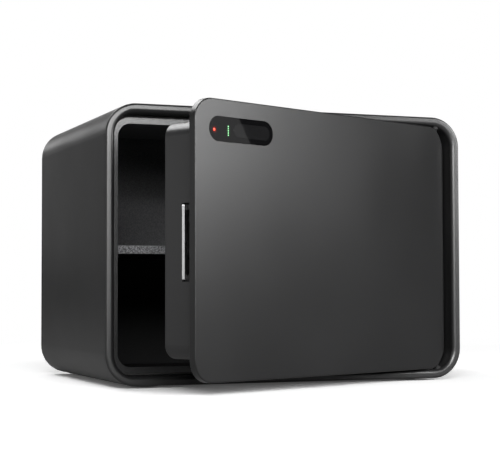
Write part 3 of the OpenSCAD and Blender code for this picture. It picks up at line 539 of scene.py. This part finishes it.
@dataclass
class Studio:
    """Camera, pale floor, white background and soft lamps."""

    eye: Point = (-0.50103, -1.29964, 0.08260)
    yaw: float = 21.402  # degrees right of +Y
    pitch: float = 2.710  # degrees up
    roll: float = -0.160
    focal: float = 1400.17  # in pixels of the photograph
    picture: int = 500  # its width
    floor_z: float = -0.002
    reach: float = 6.0  # radius of the floor
    world: float = 0.03  # brightness all round
    white_half: float = 19.0  # half the angle behind the safe that mirrors show as white
    white_soft: float = 6.0  # degrees over which it fades, to either side
    pale: float = 0.36  # the floor's colour, for the light that it throws back
    bright: float = 1.45  # the same to the eye, at which it shows as white under the lamps
    mirrored: float = 0.32  # the same to mirrors, in the width that the camera shows
    shown_half: float = 0.26  # half that width
    shown_soft: float = 0.05
    glow: float = 0.06  # share of plain white in what the eye sees of the near floor
    near: float = 0.35  # radius out to which it is near
    far: float = 1.0  # radius from which it is all plain white
    lamps: tuple[Softbox, ...] = (
        Softbox("key", -41.8, 15.6, 2.0, 0.87, 0.70, 14.0),
        Softbox("front", -89.0, 11.0, 2.0, 1.00, 0.50, 14.0),
        Softbox("opening", -114.0, 20.0, 2.0, 0.75, 0.45, 22.0),
        Softbox("glint", -29.23, 8.37, 2.01, 0.16, 0.24, 0.52, 26.0),
        Softbox("left", -162.0, 10.0, 2.0, 0.80, 0.60, 1.5),
        Softbox("left_back", 156.0, 7.0, 2.0, 0.80, 0.70, 0.75),
        Softbox("back_left", 128.0, 9.0, 2.0, 0.70, 0.90, 0.08),
        Softbox("back_near", 98.0, 8.0, 2.0, 0.25, 0.50, 1.3),
        Softbox("back_high", 103.0, 18.0, 2.2, 0.45, 0.32, 1.6),
        Softbox("back_top", 95.0, 46.0, 2.0, 0.80, 0.36, 8.0),
        Softbox("back_wide", 129.0, 44.0, 2.0, 0.90, 0.50, 9.0),
    )

    def camera(self) -> None:
        """Sets up the camera at the photograph's viewing angle."""
        turn = Matrix.Rotation(-math.radians(self.yaw), 4, "Z")
        turn @= Matrix.Rotation(QUARTER + math.radians(self.pitch), 4, "X")
        turn @= Matrix.Rotation(math.radians(self.roll), 4, "Z")
        lens = bpy.data.cameras.new("camera")
        lens.sensor_width = 36.0
        lens.lens = self.focal * lens.sensor_width / self.picture
        lens.clip_start, lens.clip_end = 0.05, 50.0
        piece = placed("camera", lens)
        piece.matrix_world = Matrix.Translation(self.eye) @ turn
        bpy.context.scene.camera = piece

    def surroundings(self) -> None:
        """Lights the scene from all round with a plain dim grey, in front of a white background.

        The background is white to the eye, and to mirror and see-through rays that leave behind the safe.
        """
        world = bpy.data.worlds.new("studio")
        bpy.context.scene.world = world
        world.use_nodes = True
        tree = Tree(world.node_tree)
        yaw = math.radians(self.yaw)
        facing = tree.maths("DOT_PRODUCT", tree.add("TexCoord").outputs["Generated"],
                            (math.sin(yaw), math.cos(yaw), 0.0), kind="VectorMath")
        behind = tree.ramp(facing, math.cos(math.radians(self.white_half + self.white_soft)),
                           math.cos(math.radians(self.white_half - self.white_soft)))
        camera, mirror = tree.rays()
        white = tree.maths("MAXIMUM", camera, tree.maths("MULTIPLY", mirror, behind))
        back = tree.add("Background", Color=(1, 1, 1),
                        Strength=tree.maths("MULTIPLY_ADD", white, 1 - self.world, self.world))
        tree.add("OutputWorld", Surface=back.outputs[0])

    def pale_floor(self) -> bpy.types.Material:
        """Builds the floor's material: a matt tone for each kind of ray, and plain white far out.

        Returns:
            The material, which is see-through from below.
        """
        material, tree = new_material("pale_floor")
        place = tree.add("TexCoord").outputs["Object"]
        yaw = math.radians(self.yaw)
        beside = tree.maths("DOT_PRODUCT", place, (math.cos(yaw), -math.sin(yaw), 0.0), kind="VectorMath")
        shown = tree.ramp(tree.maths("ABSOLUTE", beside), self.shown_half + self.shown_soft,
                          self.shown_half - self.shown_soft)
        camera, mirror = tree.rays()
        mirror = tree.maths("MULTIPLY", mirror, shown)
        tone = tree.maths("MULTIPLY_ADD", mirror, self.mirrored - self.pale, self.pale)
        tone = tree.maths("MULTIPLY_ADD", camera, self.bright - self.pale, tone)
        mottle = tree.maths("MULTIPLY_ADD", tree.noise(place, 40.0, 3.0), 0.04, 0.98)
        matt = tree.add("BsdfDiffuse", Color=tree.maths("MULTIPLY", tone, mottle))
        away = tree.maths("LENGTH", place, kind="VectorMath")
        share = tree.maths("MULTIPLY_ADD", tree.ramp(away, self.near, self.far), 1 - self.glow, self.glow)
        seen = tree.maths("MULTIPLY", tree.maths("MAXIMUM", camera, mirror), share)
        top = tree.mix(seen, matt, tree.add("Emission", Strength=1.0))
        both = tree.mix(tree.add("NewGeometry").outputs["Backfacing"], top, tree.add("BsdfTransparent"))
        tree.add("OutputMaterial", Surface=both.outputs[0])
        return material

    def floor(self) -> None:
        """Lays the floor, a disc of rings: radius x (cos, sin), where the radii grow by equal shares."""
        radii = np.concatenate([[0.0], np.geomspace(0.05, self.reach, 20)])
        grid = np.insert(radii[:, None, None] * circle(1.0, 64)[::-1], 2, self.floor_z, axis=-1)
        mesh = bpy.data.meshes.new("floor")
        mesh.from_pydata(grid.reshape(-1, 3).tolist(), [], quads(*grid.shape[:2]).tolist())
        mesh.update()
        mesh.materials.append(self.pale_floor())
        piece = placed("floor", mesh)

    def build(self) -> None:
        """Sets up everything round the safe."""
        bpy.context.scene.view_settings.view_transform = "Standard"
        self.camera()
        self.surroundings()
        self.floor()
        for lamp in self.lamps:
            lamp.hang()
        LOG.info("studio: camera, floor and %d lamps", len(self.lamps))


# Meshes from grids


def quads(rows: int, columns: int) -> np.ndarray:
    """Lists the faces between a grid's points, whose last column joins the first.

    Args:
        rows: Number of rows.
        columns: Number of columns.

    Returns:
        The point numbers, faces x 4.
    """
    net = np.arange(rows * columns).reshape(rows, columns)
    net = np.concatenate([net, net[:, :1]], 1)
    return np.stack([net[:-1, :-1], net[:-1, 1:], net[1:, 1:], net[1:, :-1]], -1).reshape(-1, 4)


def faces_of(grid: Grid, start: int) -> list[list[int]]:
    """Lists the faces of a closed surface, turned outwards, with a flat lid at its first and last row.

    The sign of the enclosed volume, a sum of a . (b x c) over the triangles, says which way they turn.

    Args:
        grid: Its points.
        start: Number of its first point in the mesh.

    Returns:
        The faces as lists of point numbers.
    """
    rows, columns = grid.shape[:2]
    sides = quads(rows, columns)
    lids = [np.arange(columns)[::-1], np.arange(columns) + (rows - 1) * columns]
    points = grid.reshape(-1, 3) - grid.reshape(-1, 3).mean(0)
    a, b, c, d = (points[sides[:, i]] for i in range(4))
    volume = (np.cross(a, b) * c).sum() + (np.cross(a, c) * d).sum()
    for fan in (points[lid] for lid in lids):
        volume += (np.cross(fan[1:-1], fan[2:]) @ fan[0]).sum()
    faces = (sides + start).tolist() + [(lid + start).tolist() for lid in lids]
    return [face[::-1] for face in faces] if volume < 0 else faces


def make(name: str, slot: str, grids: list[Grid], *stands_for: str, body: Body = Body.DOOR,
         sharp: float = 40.0, finish: str = "") -> None:
    """Makes one new piece, dresses it and lets it ride on its body.

    Args:
        name: The piece's name.
        slot: The record's material slot.
        grids: Its closed surfaces. Those of the door are turned with it.
        stands_for: CAD nodes that it replaces.
        body: The body that it rides on.
        sharp: Edges that bend by more than this many degrees stay crisp.
        finish: Its finish, where it isn't the slot's own.
    """
    faces, count = [], 0
    for grid in grids:
        faces += faces_of(grid, count)
        count += grid.size // 3
    places = np.concatenate([grid.reshape(-1, 3) for grid in grids])
    if body is Body.DOOR:  # seen from the hinge, x' = x cos - y sin and y' = x sin + y cos
        cos, sin = math.cos(AJAR), math.sin(AJAR)
        places = (places - HINGE) @ [[cos, sin, 0.0], [-sin, cos, 0.0], [0.0, 0.0, 1.0]] + HINGE
    mesh = bpy.data.meshes.new(name)
    mesh.from_pydata(places.tolist(), [], faces)
    work = bmesh.new()
    work.from_mesh(mesh)
    bmesh.ops.remove_doubles(work, verts=work.verts, dist=WELD)
    work.to_mesh(mesh)
    work.free()
    mesh.shade_smooth()
    mesh.set_sharp_from_angle(angle=math.radians(sharp))
    mesh.materials.append(FINISH[finish or slot].shade())
    piece = placed(name, mesh)
    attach(piece, body.value)
    if stands_for:
        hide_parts(*stands_for)
    LOG.info("piece %s: %d faces, %s, on %s", name, len(faces), slot, body.value)


def circle(radius: float, sides: int = 18) -> np.ndarray:
    """Returns a circle's points: radius x (cos, sin) of the turn."""
    turn = np.linspace(0, 2 * math.pi, sides + 1)[:-1]
    return radius * np.stack([np.cos(turn), np.sin(turn)], -1)


def plate(x: float, z: float, width: float, height: float, radius: float, front: float, back: float,
          soft: float, steps: int = 7, dish: float = 0.0) -> Grid:
    """Upright rounded plate between two depths, with softened edges.

    Its outline is corner centre + radius x direction for each turn. Along the depth it shrinks by
    soft x (1 - sin) into each face. A dished front goes on inwards, as dish x (1 - cos) / 2.

    Args:
        x: Middle of its width.
        z: Middle of its height.
        width: Full width.
        height: Full height.
        radius: Corner radius, no smaller than soft.
        front: Smallest y.
        back: Largest y.
        soft: Radius of the edges.
        steps: Points in each corner.
        dish: Depth of the hollow in its front.

    Returns:
        The plate.
    """
    turns = (np.arange(4)[:, None] + np.linspace(0, 1, steps)) * QUARTER
    ways = np.stack([np.cos(turns), np.sin(turns)], -1)
    signs = np.array([[1, 1], [-1, 1], [-1, -1], [1, -1]])[:, None]
    centres = signs * (np.array([width, height]) / 2 - radius)
    bend = np.linspace(0, QUARTER, 5)
    shrink = np.concatenate([soft * (1 - np.sin(bend)), soft * (1 - np.cos(bend))])
    depth = np.concatenate([front + soft * (1 - np.cos(bend)), back - soft + soft * np.sin(bend)])
    if dish:
        share = np.linspace(1, 0, 12)[:-1]
        shrink = np.concatenate([soft + (DISH_REACH * radius - soft) * share, shrink])
        depth = np.concatenate([front + dish * (1 - np.cos(math.pi * share)) / 2, depth])
    flat = (centres + (radius - shrink)[:, None, None, None] * ways).reshape(len(shrink), -1, 2)
    return np.stack([x + flat[..., 0], np.broadcast_to(depth[:, None], flat.shape[:2]), z + flat[..., 1]], -1)


def lathe(profile: np.ndarray, centre: Point, axis: Point, sides: int = 32) -> Grid:
    """Turned part: each profile point is centre + along x axis + radius x (cos u + sin v).

    Args:
        profile: Points as [radius, along].
        centre: Where along is 0.
        axis: Unit direction of the axis.
        sides: Points round it.

    Returns:
        The part.
    """
    first = np.cross(axis, X_AXIS if axis == Z_AXIS else Z_AXIS)
    spoke = circle(1.0, sides) @ np.stack([first, np.cross(axis, first)])
    return centre + profile[:, 1, None, None] * np.array(axis) + profile[:, 0, None, None] * spoke


def sweep(path: np.ndarray, section: np.ndarray, up: Point) -> Grid:
    """Carries a section along a path: point = path + across x side + over x rise.

    Side is the unit cross product of the path's direction and up, and rise is side x direction.

    Args:
        path: Points x 3.
        section: Points as [across, over], in order round the section.
        up: A direction that the path never takes.

    Returns:
        The swept solid.
    """
    way = np.gradient(path, axis=0)
    way /= np.linalg.norm(way, axis=1, keepdims=True)
    side = np.cross(way, up)
    side /= np.linalg.norm(side, axis=1, keepdims=True)
    rise = np.cross(side, way)
    return path[:, None] + section[:, :1] * side[:, None] + section[:, 1:] * rise[:, None]


# Sub-assemblies


@dataclass
class Frame:
    """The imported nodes, whose shapes stay as they are."""

    subparts: list[dict]

    def build(self) -> None:
        """Gives every node a finish of its own or that of its slot."""
        for part in self.subparts:
            node, slot = part["node"], part["material_slot"]
            mesh = frame["nodes"][node].data
            mesh.materials.clear()
            mesh.materials.append((FINISH.get(node) or FINISH[slot]).shade())
            LOG.info("node %s: %s", node, slot)


@dataclass
class ShelfFelt:
    """Felt sheet on the shelf, folded down over its front edge."""

    half: float = 170.6 * MM  # half its width
    front: float = -72.0 * MM  # outer face of the fold
    back: float = 117.8 * MM
    top: float = 124.7 * MM
    low: float = 117.0 * MM  # lower edge of the fold
    thick: float = 2.0 * MM
    bend: float = 1.9 * MM  # radius of the fold's outer face
    wander: float = 0.1 * MM  # half the most that the fold wanders
    waves: Pair = (5.1 * MM, 8.3 * MM)  # lengths of its two waves, over 2 pi
    near: float = 6.0 * MM  # depth behind the front at which the wander has died out

    def section(self) -> np.ndarray:
        """Draws the folded sheet's outline: over the top, round the fold, and back inside.

        Returns:
            Its points as [y, z].
        """
        turn, tip, half = np.linspace(0, QUARTER, 8), np.linspace(0, math.pi, 9), self.thick / 2
        fold = np.stack([self.front + self.bend * (1 - np.sin(turn)),
                         self.top - self.bend * (1 - np.cos(turn))], -1)
        end = np.stack([self.front + half * (1 - np.cos(tip)), self.low + half * (1 - np.sin(tip))], -1)
        over = np.linspace((self.back, self.top), (self.front + 4 * self.thick, self.top), 8)
        under = self.top - self.thick
        return np.concatenate([over, fold, end, [[self.front + self.thick, under], [self.back, under]]])

    def build(self) -> None:
        """Carries the outline across the shelf, where the fold wanders as 2 + sin + sin of x."""
        outline = self.section()
        across = np.linspace(-self.half, self.half, 160)
        first, second = self.waves
        wander = self.wander * (2 + np.sin(across / first) + np.sin(across / second + 1))[:, None]
        near = np.clip((self.front + self.near - outline[:, 0]) / self.near, 0, 1)
        near[-2:] = 0
        y = outline[:, 0] + 0.5 * near * wander
        z = outline[:, 1] - 0.3 * near * wander * (outline[:, 1] > self.top - self.bend)
        grid = np.stack(np.broadcast_arrays(across[:, None], y, z), -1)
        make("shelf_felt_fold", "grey_felt", [grid], "shelf_felt", body=Body.CASE, sharp=50)


@dataclass
class RubberFeet:
    """Four round rubber feet, each with a groove and a dimple in its tread."""

    across: float = 130.0 * MM  # from the middle to a foot's centre
    along: float = 90.0 * MM
    radius: float = 13.0 * MM
    height: float = 2.0 * MM  # under the case
    edge: float = 0.6 * MM  # radius of the rounded edge

    def build(self) -> None:
        """Turns the profile at the four corners."""
        r, h = self.radius, self.height
        turn = np.linspace(0, QUARTER, 6)
        edge = np.stack([r - self.edge * (1 - np.cos(turn)), -h + self.edge * (1 - np.sin(turn))], -1)
        tread = MM * np.array([[10.2, -2.0], [9.9, -1.4], [8.6, -1.4], [8.3, -2.0], [3.4, -2.0],
                               [3.0, -1.2], [0.3, -1.2]])
        profile = np.concatenate([[[0.5 * MM, 0.0], [r, 0.0]], edge, tread])
        feet = [lathe(profile, (sx * self.across, sy * self.along, 0.0), Z_AXIS, 48)
                for sx in (-1, 1) for sy in (-1, 1)]
        make("rubber_feet", "rubber", feet, "feet", body=Body.CASE, sharp=30)


@dataclass
class FingerPanel:
    """What shows in the black lens at the door's upper left."""

    pad_x: float = -100.4 * MM
    pad_z: float = 214.3 * MM
    pad_size: Pair = (42.2 * MM, 11.7 * MM)
    pad_front: float = -123.2 * MM
    pad_back: float = -117.5 * MM
    pad_soft: float = 0.01 * MM
    pad_dish: float = 0.002 * MM
    lamp_z: float = 213.3 * MM
    lamp_front: float = -123.25 * MM
    lamp_back: float = -119.25 * MM
    red_x: float = -143.3 * MM
    red_size: Pair = (1.25 * MM, 0.3 * MM)  # radius and height of the dome
    charge_x: float = -127.6 * MM
    charge_size: Pair = (0.5 * MM, 0.2 * MM)
    step: float = 1.8 * MM  # between charge lamps

    def lamp(self, x: float, z: float, size: Pair) -> Grid:
        """Makes one lamp's lens, a rod along Y with a domed front.

        The dome's radius is radius x sin and its height is dome x cos of the turn.

        Args:
            x: Its place.
            z: Its height.
            size: Its radius and the height of its dome.

        Returns:
            The lens.
        """
        radius, dome = size
        turn = np.linspace(0.12, QUARTER, 7)
        cap = np.stack([radius * np.sin(turn), self.lamp_front + dome * (1 - np.cos(turn))], -1)
        return lathe(np.concatenate([cap, [[radius, self.lamp_back]]]), (x, 0.0, z), Y_AXIS, 28)

    def build(self) -> None:
        """Makes the pad and the lamps."""
        width, height = self.pad_size
        pad = plate(self.pad_x, self.pad_z, width, height, height / 2, self.pad_front, self.pad_back,
                    self.pad_soft, 14, self.pad_dish)
        red = self.lamp(self.red_x, self.lamp_z, self.red_size)
        column = [self.lamp(self.charge_x, self.lamp_z + i * self.step, self.charge_size)
                  for i in range(-2, 3)]
        make("finger_pad_dish", "pad_gloss", [pad], "finger_pad", sharp=3)
        make("alert_dome", "red_lamp", [red], "alert_lamp")
        make("charge_domes", "green_lamp", column, "charge_lamps")


@dataclass
class ControlBoard:
    """Plugs, packages and small parts on the back of the control board.

    The lists give each part in millimetres, from the board's corner.
    """

    left: float = -67.9 * MM
    low: float = 118.5 * MM
    face: float = -109.4 * MM  # that carries the parts
    usual: tuple[float, ...] = (0.15, 0.3, 0.0)  # radius of edges and of corners, and gap

    def parts(self, rows: Iterable[tuple[float, ...]]) -> list[Grid]:
        """Makes moulded bodies.

        Args:
            rows: Left and lower edge, width, height and thickness of each, and where they differ from
                the usual, the radius of its edges, that of its corners and the gap under it.

        Returns:
            The bodies.
        """
        full = (row + self.usual[len(row) - 5:] for row in rows)
        return [plate(self.left + (x + width / 2) * MM, self.low + (z + height / 2) * MM, width * MM,
                      height * MM, radius * MM, self.face + lift * MM, self.face + thick * MM, soft * MM, 3)
                for x, z, width, height, thick, soft, radius, lift in full]

    def leg(self, x: float, z: float, way: int, reach: float, rise: float, wide: float) -> Grid:
        """Makes one bent leg.

        Its path runs out of the body at the height rise, down, and out along the board.

        Args:
            x: Its place.
            z: Where it leaves the body.
            way: 1 for upwards along Z, -1 for downwards.
            reach: How far it runs.
            rise: Height at which it leaves.
            wide: Its width.

        Returns:
            The leg.
        """
        out = np.array([0.0, 0.25, 0.42, 0.55, 0.72, 1.0]) * reach
        up = np.array([rise, rise, 0.72 * rise, 0.3 * rise + 0.08, 0.08, 0.08])
        path = np.stack([np.full(6, self.left + x * MM), self.face + up * MM,
                         self.low + (z + way * out) * MM], -1)
        half, thin = wide / 2, 0.07
        flat = MM * np.array([[-half, -thin], [half, -thin], [half, thin], [-half, thin]])
        return sweep(path, flat, Y_AXIS)

    def plugs(self) -> None:
        """Makes the three plugs with their walls and latches, and their pins."""
        bodies = ((12, 44, 14, 11, 1.5), (12.4, 55.4, 13.2, 2.2, 1.1), (16, 14, 7.2, 16, 3.9, 0.2, 0.5),
                  (23.3, 15.5, 2.4, 13, 2.6), (60, 18, 9, 20, 3.9, 0.2, 0.5), (69.1, 20, 2.7, 16, 2.6))
        pins = [(13.2 + 1.35 * i, 43, 0.5, 0.9, 0.25, 0.05, 0.1) for i in range(9)]
        pins += [(x, z + 4.8 * i, 1.3, 1, 0.4, 0.05, 0.2)
                 for x, z, count in ((14.6, 18.9, 2), (58.6, 23.9, 3)) for i in range(count)]
        make("board_plugs", "black_plastic", self.parts(bodies), "board_chips")
        make("plug_pins", "zinc_steel", self.parts(pins))

    def packages(self) -> None:
        """Makes the two chips and the relay, and the chips' legs."""
        bodies = ((38, 41.3, 18, 9.4, 1.4, 0.2, 0.3, 0.15), (40.6, 12.6, 6.8, 6.8, 1.1, 0.15, 0.3, 0.1),
                  (62, 48, 10, 8, 3.9, 0.25, 0.6))
        legs = [self.leg(x + pitch * i, z, way, *sizes)
                for x, pitch, count, ends, sizes in ((39.3, 1.27, 13, (50.7, 41.3), (1.25, 0.75, 0.42)),
                                                     (41.4, 0.65, 9, (19.4, 12.6), (0.55, 0.55, 0.24)))
                for i in range(count) for way, z in zip((1, -1), ends)]
        make("board_packages", "black_plastic", self.parts(bodies))
        make("package_legs", "bright_steel", legs)

    def small_parts(self) -> None:
        """Makes the rows of chip capacitors and resistors, with their tinned ends."""
        tan = [(31, 46), (31, 49), (47.5, 36), (35, 18), (52, 14), (52, 20), (34, 30), (64, 44), (8, 34),
               (15, 34), (60, 9)]
        dark = [(31, 52), (44, 36), (51, 36), (35, 21), (52, 17), (30, 30), (60, 44), (68, 44),
                (11.5, 34), (56, 9)]
        ends = [(x + side, z, 0.45, 1.3, 0.62, 0.08, 0.1) for x, z in tan + dark for side in (0, 1.55)]
        make("tinned_ends", "zinc_steel", self.parts(ends))
        for name, slot, spots, sizes in (("chip_capacitors", "ribbon", tan, (0.66, 0.06, 0.08)),
                                         ("chip_resistors", "black_plastic", dark, (0.5, 0.05, 0.06))):
            make(name, slot, self.parts((x + 0.42, z + 0.02, 1.16, 1.26, *sizes) for x, z in spots))

    def build(self) -> None:
        """Makes everything on the board."""
        self.plugs()
        self.packages()
        self.small_parts()


@dataclass
class BatteryPack:
    """Four cells in the holder, with a spring and a plate at their ends."""

    x: float = 60.1 * MM  # middle of the holder
    z: float = 85.0 * MM
    y: float = -86.15 * MM  # of the cells' axes
    radius: float = 7.25 * MM
    length: float = 50.5 * MM  # of a cell over its nub
    step: float = 15.0 * MM  # between the cells' axes
    room: float = 58.0 * MM  # inner width of the holder
    count: int = 4
    curl: float = 0.7 * MM  # radius of the wrap's ends
    nub: float = 1.0 * MM  # height of a nub

    def row(self, i: int) -> float:
        """Returns the height of a cell's axis."""
        return self.z + (i - (self.count - 1) / 2) * self.step

    def way(self, i: int) -> int:
        """Returns 1 where a cell's nub points along +X, and -1 where it points back."""
        return 1 if i % 2 == 0 else -1

    def cells(self) -> None:
        """Turns the wrapped bodies, whose wrap curls over both ends, and the bare metal ends."""
        r, half = self.radius, self.length / 2
        high = half - self.nub
        turn = np.linspace(0, QUARTER, 7)
        sin, cos = self.curl * np.sin(turn), self.curl * np.cos(turn)
        rise = np.stack([r - self.curl + sin, -half + self.curl - cos], -1)
        fall = np.stack([r - self.curl + cos, high - self.curl + sin], -1)
        lip = MM * np.array([[5.2, 0.25], [5.4, 0.0]]) + [0.0, -half]
        wrap = np.concatenate([lip, rise, fall, MM * np.array([[5.2, 0.0], [5.0, -0.25]]) + [0.0, high]])
        ends = (MM * np.array([[4.9, -1.6], [4.9, -1.3], [2.9, -1.15], [2.65, -0.9], [2.6, -0.2],
                               [2.35, -0.02], [0.2, 0.0]]) + [0.0, half],
                MM * np.array([[0.2, 0.1], [3.4, 0.1], [3.7, 0.3], [5.1, 0.35], [5.1, 0.9]]) + [0.0, -half])
        wraps, metal = [], []
        for i in range(self.count):
            centre, axis = (self.x, self.y, self.row(i)), (float(self.way(i)), 0.0, 0.0)
            wraps.append(lathe(wrap, centre, axis, 48))
            metal += [lathe(end, centre, axis) for end in ends]
        make("cell_wraps", "cell_wrap", wraps, "battery_cells")
        make("cell_ends", "bright_steel", metal, finish="tinned")

    def spring(self, i: int, side: int) -> Grid:
        """Winds the spring at a cell's flat end.

        A point at turn t is centre + rise(t) x X + r(t) x (cos t, sin t), and r shrinks with t.

        Args:
            i: The cell's number.
            side: 1 for the holder's right end, -1 for its left.

        Returns:
            The spring.
        """
        turn = np.linspace(0, 2 * math.pi * 3.6, 120)
        share = turn / turn[-1]
        size = (2.1 - 0.7 * share) * MM
        along = 0.25 * MM + ((self.room - self.length) / 2 - 0.75 * MM) * share
        path = np.stack([self.x + side * (self.room / 2 - 0.4 * MM) - side * along,
                         self.y + size * np.cos(turn), self.row(i) + size * np.sin(turn)], -1)
        return sweep(path, circle(0.24 * MM, 8), X_AXIS)

    def contacts(self) -> None:
        """Makes a plate for each end, a spring at the flat end and a dimple at the nub's end."""
        thin = 0.2 * MM
        bend = plate(0, 0, 11 * MM, 9 * MM, 1.2 * MM, -thin, thin, 0.08 * MM, 5)[..., [1, 0, 2]]
        dome = MM * np.array([[2.6, 0.0], [2.3, 0.5], [1.7, 1.2], [1.5, 2.6], [1.1, 3.1], [0.2, 3.2]])
        grids = []
        for i in range(self.count):
            for side in (-1, 1):
                wall = self.x + side * (self.room / 2 - thin)
                grids.append(bend + (wall, self.y, self.row(i)))
                if side == self.way(i):
                    centre = (wall - side * thin, self.y, self.row(i))
                    grids.append(lathe(dome, centre, (float(-side), 0.0, 0.0), 24))
                else:
                    grids.append(self.spring(i, side))
        make("contact_springs", "zinc_steel", grids, "battery_contacts", finish="tinned")

    def build(self) -> None:
        """Makes the cells and the contacts."""
        self.cells()
        self.contacts()


@dataclass
class BoltDrive:
    """Motor and gearbox that move the bolt."""

    x: float = -99.9 * MM  # right face of the gearbox, where the motor starts
    y: float = -109.5 * MM  # of the motor's axis
    z: float = 107.5 * MM
    radius: float = 6.0 * MM
    length: float = 26.0 * MM
    nose: float = 0.8 * MM  # radius of the can's rolled edge
    gap: float = 0.1 * MM  # between the gearbox and the can
    box: Point = (-111.9 * MM, -102.6 * MM, 112.5 * MM)  # middle of the gearbox's rear face
    screw: Pair = (9.3 * MM, 11.3 * MM)  # from there to a screw, along x and z

    def motor(self) -> None:
        """Turns the steel can with its rolled edge and the moulded end cap with its bearing."""
        corner = np.array([self.radius, self.length])
        turn = np.linspace(0, QUARTER, 6)
        nose = np.stack([self.radius - self.nose * (1 - np.sin(turn)),
                         self.gap + self.nose * (1 - np.cos(turn))], -1)
        rim = MM * np.array([[0.0, -4.2], [-0.35, -3.9], [-0.35, -3.5], [-0.05, -3.2], [-0.05, -2.3],
                             [-0.5, -2.1]]) + corner
        can = np.concatenate([[[1.0 * MM, self.gap]], nose, rim])
        rear = MM * np.array([[-0.6, -2.3], [-0.6, -0.4], [-1.0, 0.0]]) + corner
        bearing = MM * np.array([[2.6, 0.0], [2.2, 0.3], [2.1, 1.3], [1.9, 1.5], [0.9, 1.5], [0.8, 1.1],
                                 [0.2, 1.1]]) + (0.0, self.length)
        centre = (self.x, self.y, self.z)
        cap = lathe(np.concatenate([rear, bearing]), centre, X_AXIS, 48)
        make("motor_can", "zinc_steel", [lathe(can, centre, X_AXIS, 56)], "motor", sharp=30)
        make("motor_cap", "black_plastic", [cap], sharp=30)

    def screws(self) -> None:
        """Turns the four domed screw heads on the gearbox."""
        head = MM * np.array([[2.0, 0.02], [2.0, 0.35], [1.8, 0.75], [1.2, 1.0], [0.9, 0.98], [0.85, 0.5],
                              [0.1, 0.5]])
        x, y, z = self.box
        across, up = self.screw
        heads = [lathe(head, (x + sx * across, y, z + sz * up), Y_AXIS, 24)
                 for sx in (-1, 1) for sz in (-1, 1)]
        make("gearbox_screws", "dark_steel", heads, sharp=30)

    def build(self) -> None:
        """Makes the motor and the gearbox's screws."""
        self.motor()
        self.screws()


@dataclass
class Leads:
    """Round leads of the batteries and the motor, and the flat ribbon of the finger panel."""

    radius: float = 0.78 * MM  # of a lead
    ribbon_wide: float = 9.0 * MM
    wires: int = 10  # in the ribbon
    ribbon_y: float = -108.95 * MM
    start: Pair = (-79.1 * MM, 216.3 * MM)  # of the ribbon's upper edge, as x and z
    fold_x: float = -53.4 * MM  # left edge of its upright run
    end_z: float = 176.6 * MM
    thin: float = 0.05 * MM  # half its thickness between wires
    swell: float = 0.055 * MM  # by which that grows over a wire
    bend: float = 0.125 * MM  # radius of its fold

    def lead(self, *controls: Point) -> Grid:
        """Makes one lead along a cubic curve.

        A point is (1-t)^3 a + 3(1-t)^2 t b + 3(1-t) t^2 c + t^3 d at evenly spaced t.

        Args:
            controls: The points a to d, in millimetres.

        Returns:
            The lead.
        """
        t = np.linspace(0, 1, 56)[:, None]
        a, b, c, d = MM * np.array(controls)
        path = (1 - t) ** 3 * a + 3 * (1 - t) ** 2 * t * b + 3 * (1 - t) * t ** 2 * c + t ** 3 * d
        return sweep(path, circle(self.radius), (0.31, 0.17, 0.93))

    def round_leads(self) -> None:
        """Makes the two battery leads and the two motor leads."""
        for side, name, slot, *nodes in ((-1, "battery_lead_red", "red_wire", "battery_leads"),
                                         (1, "battery_lead_black", "rubber")):
            x, z = 39.1 + side * 2.4, 146.5 + side * 2.4
            lead = self.lead((4.3, -107.4, z), (16.3, -107.4, z), (x, -89.0, 128.95), (x, -89.0, 116.95))
            make(name, slot, [lead], *nodes)
        for side, name, slot, *nodes in ((-1, "motor_lead_blue", "blue_wire", "motor_leads"),
                                         (1, "motor_lead_black", "rubber")):
            z, end = 107.5 + side * 3.0, 140.5 + side * 2.4
            lead = self.lead((-73.7, -106.0, z), (-67.7, -106.0, z), (-58.1, -107.4, end),
                             (-52.1, -107.4, end))
            make(name, slot, [lead], *nodes)

    def ribbon(self) -> None:
        """Lays the ribbon across, folds it once at 45 degrees and lets it down to its plug.

        A point's place is its wire's line: across at the wire's height up to the crease, then down. The
        turn goes from 0 to pi round the crease, and carries the wire from the front layer to the rear one
        by -cos in depth and sin away from the crease. The thickness swells as |sin| over each wire.
        """
        runs = (24, 10, 28)  # points across, round the crease and down
        over = np.linspace(0, 1, self.wires * 8 + 1)
        crease_x = self.fold_x + over * self.ribbon_wide
        height = self.start[1] - over * self.ribbon_wide
        turn = np.repeat([0.0, 0.0, math.pi], runs)
        turn[runs[0]:-runs[2]] = np.linspace(0, math.pi, runs[1] + 2)[1:-1]
        across, down = np.repeat([0.0, 1.0, 1.0], runs), np.zeros(sum(runs))
        across[:runs[0]] = np.linspace(0, 1, runs[0])
        down[-runs[2]:] = np.linspace(0, 1, runs[2])
        lean = np.sin(turn)[:, None] / math.sqrt(2)
        x = self.start[0] + across[:, None] * (crease_x - self.start[0]) + self.bend * lean
        z = height + down[:, None] * (self.end_z - height) + self.bend * lean
        y = self.ribbon_y - self.bend * np.cos(turn)[:, None] + 0 * x
        centre = np.stack([x, y, z], -1)
        face = np.stack([lean, -np.cos(turn)[:, None], lean], -1)
        thick = (self.thin + self.swell * np.abs(np.sin(over * math.pi * self.wires)))[None, :, None]
        grid = np.concatenate([centre + face * thick, (centre - face * thick)[:, ::-1]], 1)
        make("panel_ribbon", "ribbon", [grid], "sensor_ribbon", sharp=70)

    def build(self) -> None:
        """Makes the leads and the ribbon."""
        self.round_leads()
        self.ribbon()


def main() -> None:
    """Builds the studio, dresses the frame and adds the new pieces."""
    logging.basicConfig(level=logging.INFO, format="%(message)s")
    for assembly in (Studio(), Frame(frame["record"]["subparts"]), ShelfFelt(), RubberFeet(), FingerPanel(),
                     ControlBoard(), BatteryPack(), BoltDrive(), Leads()):
        assembly.build()


if __name__ == "__main__":
    main()
